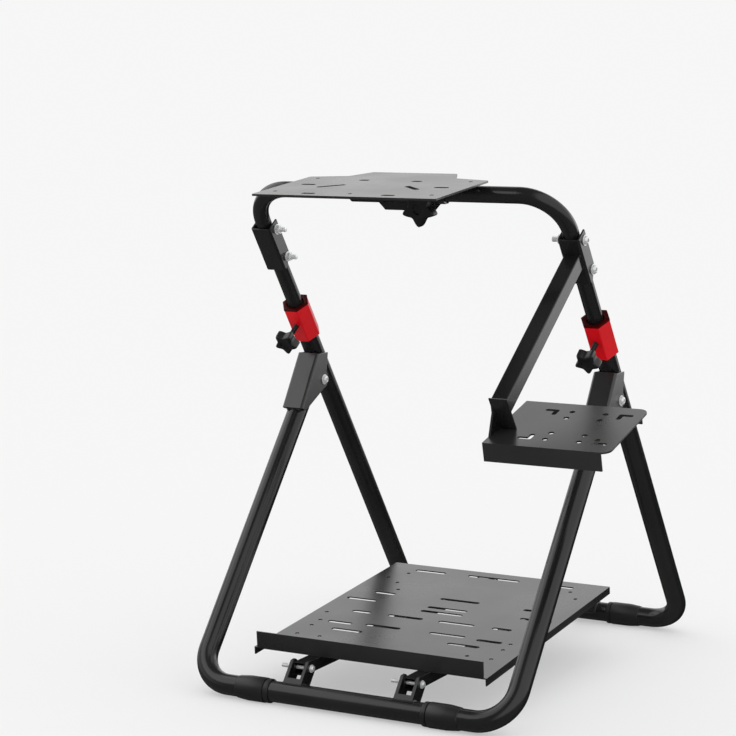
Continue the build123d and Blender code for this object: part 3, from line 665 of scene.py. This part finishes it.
# %% [markdown]
# ## Bolts, nuts and threads
# The pins are zinc screws: a low round head with a hexagon socket, a washer at each end, a lock nut and
# a length of bare thread. The head, nut and washers are rings again. A hexagon is a circle whose radius
# grows towards six corners, and a thread is a circle whose radius rises and falls once a turn while it
# climbs. Most sizes are shares of the thread's diameter; the washer's thickness is in millimetres.

# %% Washers and heads
BOLT_STEPS = 36
WASHER = 1.6
WASHER_EDGE = 0.25
WASHER_R = 1.04
# Outline of the round head: radius, and height above its seat.
HEAD_OUTLINE = ((0.85, 0.0), (0.85, 0.1), (0.80, 0.26), (0.68, 0.43), (0.54, 0.52), (0.44, 0.55))
SOCKET_FLATS = 0.70
SOCKET_TOP = 0.53
SOCKET_FLOOR = 0.06


def hexagon(flats):
    """Radius of a hexagon by angle."""
    return lambda angle: flats / 2 / math.cos((angle + math.pi / 6) % (math.pi / 3) - math.pi / 6)


def bolt_ring(radius, height):
    return turned(BOLT_STEPS, radius, height)


def add_washer(bm, size, low):
    """Washer from a height upwards."""
    outer = WASHER_R * size
    inner = outer - WASHER_EDGE
    skin(bm, [bolt_ring(inner, low), bolt_ring(outer, low + WASHER_EDGE),
              bolt_ring(outer, low + (WASHER - WASHER_EDGE)), bolt_ring(inner, low + WASHER)])


def add_button_head(bm, size, low):
    """Round head with a hexagon socket, from a height upwards."""
    rings = [bolt_ring(radius * size, low + up * size) for radius, up in HEAD_OUTLINE]
    socket = hexagon(SOCKET_FLATS * size)
    rings += [bolt_ring(socket, low + up * size) for up in (SOCKET_TOP, SOCKET_FLOOR)]
    skin(bm, rings)


print("head of", len(HEAD_OUTLINE), "rings and a socket")

# %% Nuts and threads
THREAD_STEPS = 5
THREAD_PITCH = {6: 1.0, 8: 1.25}
THREAD_DEPTH = 0.07
THREAD_TIP = 0.36
NUT_HEIGHT = 0.65
NUT_FLATS = 1.62
NUT_CHAMFER = 0.09
# Plastic ring of the lock nut: radius, and depth below the nut.
LOCK_RING = ((0.52, 0.20), (0.62, 0.15), (0.64, 0.0))


def add_nut(bm, size, high):
    """Lock nut from a height downwards."""
    low = high - NUT_HEIGHT * size
    flats = NUT_FLATS * size
    chamfer = NUT_CHAMFER * size
    rings = [bolt_ring(radius * size, low - down * size) for radius, down in LOCK_RING]
    rings += [bolt_ring(flats / 2, low), bolt_ring(hexagon(flats), low + chamfer),
              bolt_ring(hexagon(flats), high - chamfer), bolt_ring(flats / 2, high)]
    skin(bm, rings)


def thread_radius(size, height):
    """Radius of a thread by angle, at one height."""
    def radius(angle):
        wave = 0.5 + 0.5 * math.cos(math.tau * height / THREAD_PITCH[size] - angle)
        return 0.5 * size - THREAD_DEPTH * size * (1 - wave)
    return radius


def add_thread(bm, size, low, high):
    """Threaded length, with its end at low pulled in."""
    count = int((high - low) / THREAD_PITCH[size] * THREAD_STEPS)
    heights = [low + step * (high - low) / count for step in range(1, count + 1)]
    rings = [bolt_ring(THREAD_TIP * size, low)]
    rings += [bolt_ring(thread_radius(size, height), height) for height in heights]
    skin(bm, rings)


print("threads of", THREAD_STEPS, "rings a turn")

# %% [markdown]
# ## Screws of the pivots and rails
# A screw is a head and a washer on one side of what it grips, and a washer, a nut and bare thread on
# the other. The grip is the width of the bracket or clevis that the CAD pin goes through, so the screw
# can replace the pin. All of these have their head to the driver's right.

# %% Pivot and rail screws
PIVOT_SIZE = 8
PIVOT_TAIL = 8.4
RAIL_SIZE = 6
RAIL_TAIL = 17.0
PIVOT = Vector(joints["front_fold"]["pos_m"])


def screw(name, place, size, grip, tail, body):
    """Screw along local z, with a nut on the far side of its grip and a bare thread beyond."""
    bm = bmesh.new()
    half = grip / 2
    seat = half + WASHER
    add_washer(bm, size, half)
    add_button_head(bm, size, seat)
    add_washer(bm, size, -seat)
    add_nut(bm, size, -seat)
    skin(bm, [bolt_ring(size / 2, -seat), bolt_ring(size / 2, seat)])
    add_thread(bm, size, -seat - tail, -seat)
    return new_piece(name, bm, place, ZINC, body)


def to_right(spot):
    return axes_at(spot, Vector((0, 1, 0)), Vector((0, 0, 1)))


for side, sign in SIDES.items():
    place = to_right(Vector((sign * LEG_X, PIVOT.y, PIVOT.z)))
    grip = width_of(f"{side}_leg_bracket")
    bolt = screw(f"{side}_pivot_screw", place, PIVOT_SIZE, grip, PIVOT_TAIL, "front_frame")
    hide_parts(f"{side}_pivot_bolt")
    for row in ROWS:
        pin = f"{row}_{side}_rail_pin"
        clevis = f"{row}_{side}_clevis"
        place = to_right(Vector((middle(clevis).x, middle(pin).y, middle(pin).z)))
        grip = width_of(clevis)
        bolt = screw(f"{row}_{side}_rail_screw", place, RAIL_SIZE, grip, RAIL_TAIL, f"{row}_frame")
        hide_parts(pin)
print("pivot and rail screws in place")

# %% [markdown]
# ## Screws through the shifter clamps
# Both uprights carry a channel that is held by two screws through the tube. Their heads are outside and
# the bare threads point inwards, so the two sides mirror each other. They are too small to matter to
# the CAD model, so they are only built here, on the channel's own cheeks.

# %% Clamp screws
CLAMP_SIZE = 8
CLAMP_TAIL = 15.0
SCREW_FROM_END = 13.5 * MM
SCREW_BEHIND_AXIS = -3.0 * MM
CLAMP_SCREWS = {"upper": CLAMP_TOP - SCREW_FROM_END, "lower": CLAMP_LOW + SCREW_FROM_END}


def to_left(spot):
    return axes_at(spot, Vector((0, 0, 1)), Vector((0, 1, 0)))


for side, sign in SIDES.items():
    grip = width_of(f"{side}_shifter_clamp")
    for spot_name, along in CLAMP_SCREWS.items():
        spot = leg_spot(sign * LEG_X, along, SCREW_BEHIND_AXIS)
        place = to_right(spot) if sign > 0 else to_left(spot)
        screw(f"{side}_clamp_{spot_name}_screw", place, CLAMP_SIZE, grip, CLAMP_TAIL, "upper_frame")
print("clamp screws in place")

# %% [markdown]
# ## Screws of the shifter plate
# Two short screws show in the left flange of the shifter plate. The plate is tipped, so their places are
# counted from its front left corner along the plate's own directions, which one of its holes gives us.

# %% Shifter plate screws
PLATE_UP = Vector(mounts["shifter_front_inner_hole"]["axis"])
PLATE_BACK = PLATE_UP.cross(ACROSS)
PLATE_HOLE = Vector(mounts["shifter_front_inner_hole"]["pos_m"])
PLATE_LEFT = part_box("shifter_plate")[0].x
PLATE_FRONT, PLATE_REAR = reach("shifter_plate", PLATE_BACK, PLATE_HOLE)
PLATE_TOP = reach("shifter_plate", PLATE_UP, PLATE_HOLE)[1]
FLANGE_SHEET = 2.5
FLANGE_SIZE = 6
FLANGE_TAIL = 8.0
FLANGE_SCREWS = {"front": 26.0, "rear": 56.0}
FLANGE_SCREW_UP = -14.0


def plate_spot(x, back, up):
    """Point in millimetres from the front left corner of the shifter plate's top."""
    corner = PLATE_HOLE + PLATE_BACK * PLATE_FRONT + PLATE_UP * PLATE_TOP
    corner.x = PLATE_LEFT
    return corner + (ACROSS * x + PLATE_BACK * back + PLATE_UP * up) * MM


for spot_name, back in FLANGE_SCREWS.items():
    name = f"shifter_flange_{spot_name}_screw"
    place = to_left(plate_spot(FLANGE_SHEET / 2, back, FLANGE_SCREW_UP))
    screw(name, place, FLANGE_SIZE, FLANGE_SHEET, FLANGE_TAIL, "upper_frame")
print("shifter plate", round((PLATE_REAR - PLATE_FRONT) / MM, 1), "mm deep, screws in its side flange")

# %% [markdown]
# ## Studs of the knobs
# Every knob turns a threaded stud. The wheel knob's is zinc and goes through the clamp behind a washer,
# and the height knobs' are black and go into the collars. A stud has the same thread as the bolts, and
# it stands on the joint's own axis, so it turns in place.

# %% Knob studs
STUD = 8
STUD_SUNK = 2.0
WHEEL_STUD_END = -16.0
WHEEL_STUD_SUNK = 1.0
WIDE_WASHER = 1.3
WASHER_PROUD = 0.3


def set_stud(name, low, high, finish, washer_top=None):
    """Threaded stud of a knob between two heights on its axis, with a washer below the third."""
    bm = bmesh.new()
    if washer_top is not None:
        add_washer(bm, WIDE_WASHER * STUD, washer_top - WASHER)
    add_thread(bm, STUD, low, high)
    return new_piece(f"{name}_stud", bm, knob_place(name, 0), finish, name)


set_stud("wheel_knob", WHEEL_STUD_END, RING_FRONT - WHEEL_STUD_SUNK, ZINC,
         washer_top=RING_FRONT + WASHER_PROUD)
for side in SIDES:
    name = f"{side}_height_knob"
    collar_face = front_of(f"{side}_collar", name)
    hub_end = front_of(name, name) - HEAD_DEPTH - SHORT_HUB
    set_stud(name, collar_face - STUD_SUNK, hub_end + STUD_SUNK, KNOB_BLACK)
    print(name, "bare stud", round(hub_end - collar_face, 1), "mm")

# %% [markdown]
# ## Shade caps of the collars
# The top of each collar is nearly black with a red tinge, where the inside of the red collar lies in shade.
# A cap in a very dark red is pressed over it as painted shade, and its bush guides the upper tube. The
# cap's outline follows the collar's six flats outside and the tube inside. One closed loop of rings makes
# both, because a ring may change from a circle to a hexagon as long as the points keep their number.

# %% Collar shade caps
CAP_STEPS = 72
CAP_BORE = 12.8
CAP_DEEP = 1.6
CAP_TOP = 0.9
CAP_PROUD = 0.5
BUSH_R = 17.4
BUSH_DEEP = 9.8
# Hexagons: how far they are pulled in, and how high above the cap's lower edge or its top.
CAP_LOWER_EDGE = ((0.2, 0.0), (0.0, 0.2))
CAP_UPPER_EDGE = ((0.0, -1.0), (0.4, -0.4), (1.2, 0.0))
# Circles of the mouth: how much wider than the bore, and how high above the cap's top.
CAP_MOUTH = ((2.4, 0.0), (1.4, -0.4), (0.3, -2.0), (0.0, -3.2))
COLLAR_HALF = reach("right_collar", OUT_OF_LEG, leg_spot(LEG_X, 0, 0))[1] / MM
CAP_CORNER = COLLAR_HALF / math.cos(math.pi / 6) + CAP_PROUD


def cap_hexagon(inset, height):
    """Hexagon a little outside the collar's, with its corners rounded off."""
    outline = hexagon(2 * (COLLAR_HALF + CAP_PROUD - inset))
    return turned(CAP_STEPS, lambda angle: min(outline(angle + math.pi / 6), CAP_CORNER - inset), height)


def collar_shade_cap():
    rings = [turned(CAP_STEPS, CAP_BORE, -BUSH_DEEP), turned(CAP_STEPS, BUSH_R, -BUSH_DEEP),
             turned(CAP_STEPS, BUSH_R, -CAP_DEEP)]
    rings += [cap_hexagon(inset, up - CAP_DEEP) for inset, up in CAP_LOWER_EDGE]
    rings += [cap_hexagon(inset, CAP_TOP + up) for inset, up in CAP_UPPER_EDGE]
    rings += [turned(CAP_STEPS, CAP_BORE + wider, CAP_TOP + up) for wider, up in CAP_MOUTH]
    bm = bmesh.new()
    skin(bm, rings, closed=True)
    return bm


for side, sign in SIDES.items():
    place = axes_at(leg_spot(sign * LEG_X, COLLAR_TOP, 0), ACROSS, -OUT_OF_LEG)
    # The cap's very dark red is painted shade, standing for the shaded inside of the collar.
    new_piece(f"{side}_collar_shade_cap", collar_shade_cap(), place, PAINTED_SHADE_RED, "rear_frame")
print("caps", CAP_DEEP, "mm deep on collars", round(2 * COLLAR_HALF, 1), "mm across flats")

# %% [markdown]
# ## Foot sleeves
# A moulded sleeve covers each joint between leg and cross tube. It has a thick barrel that stands on
# the floor, a parting groove near its inner end and a long taper towards the bend. Its outline is turned
# about the tube, then everything below the floor is pressed flat, as rubber is by the stand's weight.

# %% Foot sleeves
SLEEVE_STEPS = 72
SLEEVE_BORE = 16.1
# Radius, and place along the tube from the inner end to the outer one.
SLEEVE_OUTLINE = (
    (SLEEVE_BORE, -29.0), (17.6, -29.0), (18.2, -28.4), (18.4, -27.4), (18.4, -21.8),
    (17.0, -21.5), (17.0, -19.9), (18.7, -19.6), (19.0, -19.0), (19.0, 8.0), (18.8, 12.0),
    (18.2, 18.0), (17.5, 24.0), (17.1, 27.8), (16.8, 28.6), (16.3, 29.0), (SLEEVE_BORE, 29.0),
)

for row in ROWS:
    tube = middle(f"{row}_cross_tube")
    for side, sign in SIDES.items():
        name = f"{row}_{side}_foot"
        bm = bmesh.new()
        skin(bm, [turned(SLEEVE_STEPS, radius, along) for radius, along in SLEEVE_OUTLINE], closed=True)
        for vertex in bm.verts:
            vertex.co.y = max(vertex.co.y, -tube.z / MM)
        axis_spot = Vector((middle(name).x, tube.y, tube.z))
        turn_out = axes_at(axis_spot, Vector((0, sign, 0)), Vector((0, 0, 1)))
        sleeve = new_piece(f"{name}_sleeve", bm, turn_out, FOOT_BLACK, f"{row}_frame")
        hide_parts(name)
print("sleeves", len(SLEEVE_OUTLINE), "outline points each")

# %% [markdown]
# ## Weld beads
# The lugs, clevises, brackets and the shifter arm are welded on, and a hand-laid bead is a row of
# overlapping scallops under the paint. Each bead is a thin tube along the seam whose radius swells once
# every scallop, and it thins out where an open seam ends.

# %% Bead helpers
BEAD_STEP = 0.6
SCALLOP = 2.4
SCALLOP_LOW = 0.86
SCALLOP_RISE = 0.14
BEAD_SIDES = 8
BEAD_END = 0.5
BEAD_END_RISE = 0.25


def resampled(path, step):
    """Points at even steps along a path of points, in millimetres."""
    result = [path[0]]
    left_over = 0.0
    for start, end in zip(path, path[1:]):
        length = (end - start).length
        position = step - left_over
        while position <= length:
            result.append(start.lerp(end, position / length))
            position += step
        left_over = length - (position - step)
    return result


def untwisted(rings):
    """Rings that each start nearest to the start of the ring before, so that no skin twists."""
    result = [rings[0]]
    for ring in rings[1:]:
        start = result[-1][0]
        first = min(range(len(ring)), key=lambda i: (ring[i] - start).length)
        result.append(ring[first:] + ring[:first])
    return result


def bead(name, path, radius, body, closed=False):
    """Weld bead along a path of points in metres."""
    points = resampled([point / MM for point in path], BEAD_STEP)
    angles = [math.tau * step / BEAD_SIDES for step in range(BEAD_SIDES)]
    rings = []
    for i, point in enumerate(points):
        before = points[i - 1] if i or closed else point
        after = points[(i + 1) % len(points)] if i + 1 < len(points) or closed else point
        along = (after - before).normalized()
        side = along.orthogonal().normalized()
        up = along.cross(side)
        swell = SCALLOP_LOW + SCALLOP_RISE * abs(math.sin(math.pi * i * BEAD_STEP / SCALLOP))
        from_end = min(i, len(points) - 1 - i)
        ends = 1.0 if closed else min(1.0, BEAD_END + BEAD_END_RISE * from_end)
        thick = radius * swell * ends
        rings.append([point + (side * math.cos(a) + up * math.sin(a)) * thick for a in angles])
    bm = bmesh.new()
    skin(bm, untwisted(rings), closed)
    return new_piece(name, bm, Matrix.Identity(4), TUBE_BLACK, body)


print("bead helpers ready")

# %% [markdown]
# ## Seams of the pivot lugs
# A lug is a block that is welded to the round front of a rear leg all round its foot. It narrows towards
# its head, so the ends of the seam are curves on the tube that lean in as they come round its front.

# %% Lug seams
LEG_R = 16.0 * MM
LUG_HALF_W = 14.0 * MM
LUG_HALF_BASE = 21.0 * MM
LUG_HALF_HEAD = 12.0 * MM
SEAM_POINTS = 24
FRAME_BEAD = 2.0
PIVOT_ALONG = (PIVOT - REAR_TUBE).dot(UP_LEG)
PIVOT_OUT = (PIVOT - REAR_TUBE).dot(OUT_OF_LEG)


def swing(limit):
    """Angles from -limit to limit."""
    return [limit * (2 * i / SEAM_POINTS - 1) for i in range(SEAM_POINTS + 1)]


def lug_point(sign, angle, end):
    """Point on the leg at an angle from its front, at the upper or lower end of a lug."""
    out = LEG_R * math.cos(angle)
    half = LUG_HALF_BASE + (LUG_HALF_HEAD - LUG_HALF_BASE) * out / PIVOT_OUT
    return leg_spot(sign * LEG_X + LEG_R * math.sin(angle), PIVOT_ALONG + end * half, out)


def weld_lug(side, sign):
    angles = swing(math.asin(LUG_HALF_W / LEG_R))
    seam = [lug_point(sign, angle, 1) for angle in angles]
    seam += [lug_point(sign, -angle, -1) for angle in angles]
    bead(f"{side}_lug_weld", seam + seam[:1], FRAME_BEAD, "rear_frame", closed=True)


print("lugs are", round(PIVOT_ALONG / MM, 1), "mm up the leg")

# %% [markdown]
# ## Seams of the clevises
# Each clevis stands on a cross tube and points at its own pin. Its seam runs round the tube at one end,
# back along it, and round it again at the other end.

# %% Lug and clevis welds
CLEVIS_HALF_W = 13.0 * MM


def weld_clevis(row, side):
    tube = middle(f"{row}_cross_tube")
    pin = middle(f"{row}_{side}_rail_pin")
    rise = Vector((0, pin.y - tube.y, pin.z - tube.z)).normalized()
    fore = rise.cross(ACROSS)

    def on_tube(x, angle):
        return Vector((x, tube.y, tube.z)) + (rise * math.cos(angle) + fore * math.sin(angle)) * LEG_R

    low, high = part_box(f"{row}_{side}_clevis")
    angles = swing(math.asin(CLEVIS_HALF_W / LEG_R))
    seam = [on_tube(high.x, angle) for angle in angles]
    seam += [on_tube(low.x, -angle) for angle in angles]
    bead(f"{row}_{side}_clevis_weld", seam + seam[:1], FRAME_BEAD, f"{row}_frame", closed=True)


for side, sign in SIDES.items():
    weld_lug(side, sign)
    for row in ROWS:
        weld_clevis(row, side)
print("lug and clevis welds", len(SIDES) * (1 + len(ROWS)))

# %% [markdown]
# ## Seams of the arm and the leg brackets
# The arm's square end is welded to its clamp along three sides. A leg bracket has one short bead at its
# foot, round the driver's side of the leg. It sits a little above the bracket's edge, so that it covers
# the edge and doesn't look torn.

# %% Arm and bracket welds
arm_low, arm_high = reach("shifter_arm", UP_LEG, REAR_TUBE)
arm_start = reach("shifter_arm", OUT_OF_LEG, REAR_TUBE)[0]
arm_half = (arm_high - arm_low) / 2
arm_corners = ((1, arm_high), (1, arm_low), (-1, arm_low), (-1, arm_high))
arm_seam = [leg_spot(LEG_X + sign * arm_half, along, arm_start) for sign, along in arm_corners]
bead("arm_root_weld", arm_seam, FRAME_BEAD, "upper_frame")

BRACKET_BEAD = 1.7
BRACKET_SWING = math.radians(52)
ABOVE_EDGE = 1.2 * MM
FRONT_TUBE = middle("front_cross_tube")
front_rise = middle("front_left_rail_pin") - FRONT_TUBE
FRONT_UP = Vector((0, front_rise.y, front_rise.z)).normalized()
FRONT_OUT = -FRONT_UP.cross(ACROSS)
foot_along = reach("left_leg_bracket", FRONT_UP, FRONT_TUBE)[0]
for side, sign in SIDES.items():
    seam = []
    for angle in swing(BRACKET_SWING):
        spot = Vector((sign * LEG_X + LEG_R * math.sin(angle), FRONT_TUBE.y, FRONT_TUBE.z))
        seam.append(spot + FRONT_UP * (foot_along + ABOVE_EDGE) + FRONT_OUT * (LEG_R * math.cos(angle)))
    bead(f"{side}_bracket_weld", seam, BRACKET_BEAD, "front_frame")
print("arm and bracket welds", 1 + len(SIDES))

# %% [markdown]
# ## Seams under the plates
# The shifter bracket's cheek meets the plate in one straight bead. The saddle under the wheel plate is
# only stitched at its corners, because a full seam would warp the thin plate.

# %% Plate welds
CHEEK_BEAD = 1.8
CHEEK_INSET = 4.0
toe, heel = reach("shifter_bracket", PLATE_BACK, plate_spot(0, 0, 0))
seam = [plate_spot(0.0, toe / MM + CHEEK_INSET, 0.0), plate_spot(0.0, heel / MM - CHEEK_INSET, 0.0)]
bead("shifter_cheek_weld", seam, CHEEK_BEAD, "upper_frame")

SADDLE_BEAD = 1.9
SADDLE_INSET = 4 * MM
STITCH = 34.0 * MM
WHEEL_UP = Vector(mounts["wheel_plate_front_left_hole"]["axis"])
WHEEL_BACK = WHEEL_UP.cross(ACROSS)
TOP_TUBE = Vector(joints["wheel_tilt"]["pos_m"])
saddle_ends = dict(zip(ROWS, reach("wheel_saddle", WHEEL_BACK, TOP_TUBE)))
saddle_top = reach("wheel_saddle", WHEEL_UP, TOP_TUBE)[1]
saddle_half = width_of("wheel_saddle") / 2 * MM
for end_name, back in saddle_ends.items():
    for side, sign in SIDES.items():
        base = TOP_TUBE + WHEEL_BACK * back + WHEEL_UP * saddle_top
        start = base + ACROSS * (sign * (saddle_half - SADDLE_INSET))
        stitch = [start, start - ACROSS * (sign * STITCH)]
        bead(f"saddle_{end_name}_{side}_weld", stitch, SADDLE_BEAD, "wheel_deck")
print("cheek weld and", len(saddle_ends) * len(SIDES), "saddle stitches")

# %% [markdown]
# ## Floor
# A catalogue picture stands on a pale sweep with no horizon. One wide plane does it: its colour is that
# of the backdrop, so under an even light the two can't be told apart, and only the stand's soft shadow
# shows. A share of plain backdrop colour is mixed in where the camera looks at it, which keeps that
# shadow as light as in the picture.

# %% Floor
FLOOR_HALF = 12.0
PALE = 0.925
SHADOW_LIFT = 0.43


def pale_floor():
    mesh = bpy.data.meshes.new("pale_floor")
    corners = [(-FLOOR_HALF, -FLOOR_HALF, 0), (FLOOR_HALF, -FLOOR_HALF, 0),
               (FLOOR_HALF, FLOOR_HALF, 0), (-FLOOR_HALF, FLOOR_HALF, 0)]
    mesh.from_pydata(corners, [], [(0, 1, 2, 3)])
    floor = bpy.data.objects.new("pale_floor", mesh)
    bpy.context.scene.collection.objects.link(floor)
    material, tree, shader = new_finish("pale_floor")
    shader.inputs["Base Color"].default_value = grey(PALE)
    shader.inputs["Roughness"].default_value = 1.0
    shader.inputs["Specular IOR Level"].default_value = 0.0
    glow = add(tree, "ShaderNodeEmission", Color=grey(PALE))
    rays = tree.nodes.new("ShaderNodeLightPath")
    share = sum_up(tree, "MULTIPLY", rays.outputs["Is Camera Ray"], SHADOW_LIFT)
    seen = add(tree, "ShaderNodeMixShader", Fac=share)
    tree.links.new(shader.outputs["BSDF"], seen.inputs[1])
    tree.links.new(glow.outputs["Emission"], seen.inputs[2])
    tree.links.new(seen.outputs["Shader"], tree.nodes["Material Output"].inputs["Surface"])
    mesh.materials.append(material)
    floor.visible_glossy = False
    return floor


FLOOR = pale_floor()
print("floor", FLOOR.dimensions.x, "m wide")

# %% [markdown]
# ## Studio light
# Black paint has hardly any colour of its own: what we see in it is the room. The room is even and white
# for the soft light, but in the paint's mirror it is a studio: a bright sweep behind the stand up to head
# height, a bright right wall, a dimmer left wall, and an unlit ceiling and camera side. Decks mirror the
# sweep, fronts and tops stay black. The floor behind the stand is darkest, which gives the tubes their
# dark rims.

# %% World
# Where each part of the room starts to show along x, y or z, and where it shows in full.
SWEEP_Y = (-0.15, 0.45)
LEFT_WALL_X = (-0.35, -0.95)
LEFT_WALL_LIGHT = 0.45
RIGHT_WALL_X = (0.10, 0.35)
RIGHT_WALL_Y = (0.70, 0.40)
BELOW_CEILING_Z = (0.82, 0.55)
ABOVE_FLOOR_Z = (-0.12, 0.04)
FLOOR_BEHIND_Y = (0.2, 0.6)
FLOOR_BEHIND_Z = (-0.04, -0.14)
UNLIT = grey(0.13)
DARK_FLOOR = grey(0.015)
WHITE = grey(1.0)


def studio_world():
    world = bpy.data.worlds.new("studio")
    world.use_nodes = True
    bpy.context.scene.world = world
    tree = world.node_tree
    direction = tree.nodes.new("ShaderNodeTexCoord").outputs["Generated"]
    x, y, z = add(tree, "ShaderNodeSeparateXYZ", Vector=direction).outputs
    left_wall = sum_up(tree, "MULTIPLY", ramp(tree, x, *LEFT_WALL_X), LEFT_WALL_LIGHT)
    right_wall = sum_up(tree, "MULTIPLY", ramp(tree, x, *RIGHT_WALL_X), ramp(tree, y, *RIGHT_WALL_Y))
    lit = sum_up(tree, "MAXIMUM", ramp(tree, y, *SWEEP_Y), left_wall)
    lit = sum_up(tree, "MULTIPLY", lit, ramp(tree, z, *BELOW_CEILING_Z))
    lit = sum_up(tree, "MAXIMUM", lit, right_wall)
    lit = sum_up(tree, "MULTIPLY", lit, ramp(tree, z, *ABOVE_FLOOR_Z))
    behind = sum_up(tree, "MULTIPLY", ramp(tree, y, *FLOOR_BEHIND_Y), ramp(tree, z, *FLOOR_BEHIND_Z))
    mirrored_room = tint(tree, lit, tint(tree, behind, UNLIT, DARK_FLOOR), WHITE)
    rays = tree.nodes.new("ShaderNodeLightPath")
    room = tint(tree, rays.outputs["Is Glossy Ray"], WHITE, mirrored_room)
    seen = tint(tree, rays.outputs["Is Camera Ray"], room, grey(PALE))
    tree.links.new(seen, tree.nodes["Background"].inputs["Color"])
    return world


WORLD = studio_world()
print("world", WORLD.name)

# %% [markdown]
# ## Softboxes
# Two softboxes draw the streaks along the tubes: a tall one behind on the right, which the arm and the
# leg brackets mirror, and a wide one high up on the left, which lights the webs of the brackets, the
# legs and the cross tube. They only show in reflections, so the floor stays even.

# %% Softboxes
# Place, target, and width and height in metres, then the brightness.
LAMPS = {
    "right_back_softbox": ((1.6, 2.6, 0.9), (0.0, 0.0, 0.8), (1.3, 1.7), 1.2),
    "left_high_softbox": ((-1.42, -1.1, 1.75), (0.18, -0.65, 0.4), (3.3, 1.6), 1.25),
}

for lamp_name, (place, target, size, brightness) in LAMPS.items():
    data = bpy.data.lights.new(lamp_name, "AREA")
    data.shape = "RECTANGLE"
    data.size, data.size_y = size
    data.energy = brightness * math.pi * size[0] * size[1]
    lamp = bpy.data.objects.new(lamp_name, data)
    lamp.location = place
    lamp.rotation_mode = "QUATERNION"
    lamp.rotation_quaternion = (Vector(target) - Vector(place)).to_track_quat("-Z", "Y")
    lamp.visible_camera = False
    lamp.visible_diffuse = False
    bpy.context.scene.collection.objects.link(lamp)
print("softboxes", len(LAMPS))

# %% [markdown]
# ## Finish
# The view transform is set to Standard.

# %% Finish
bpy.context.scene.view_settings.view_transform = "Standard"
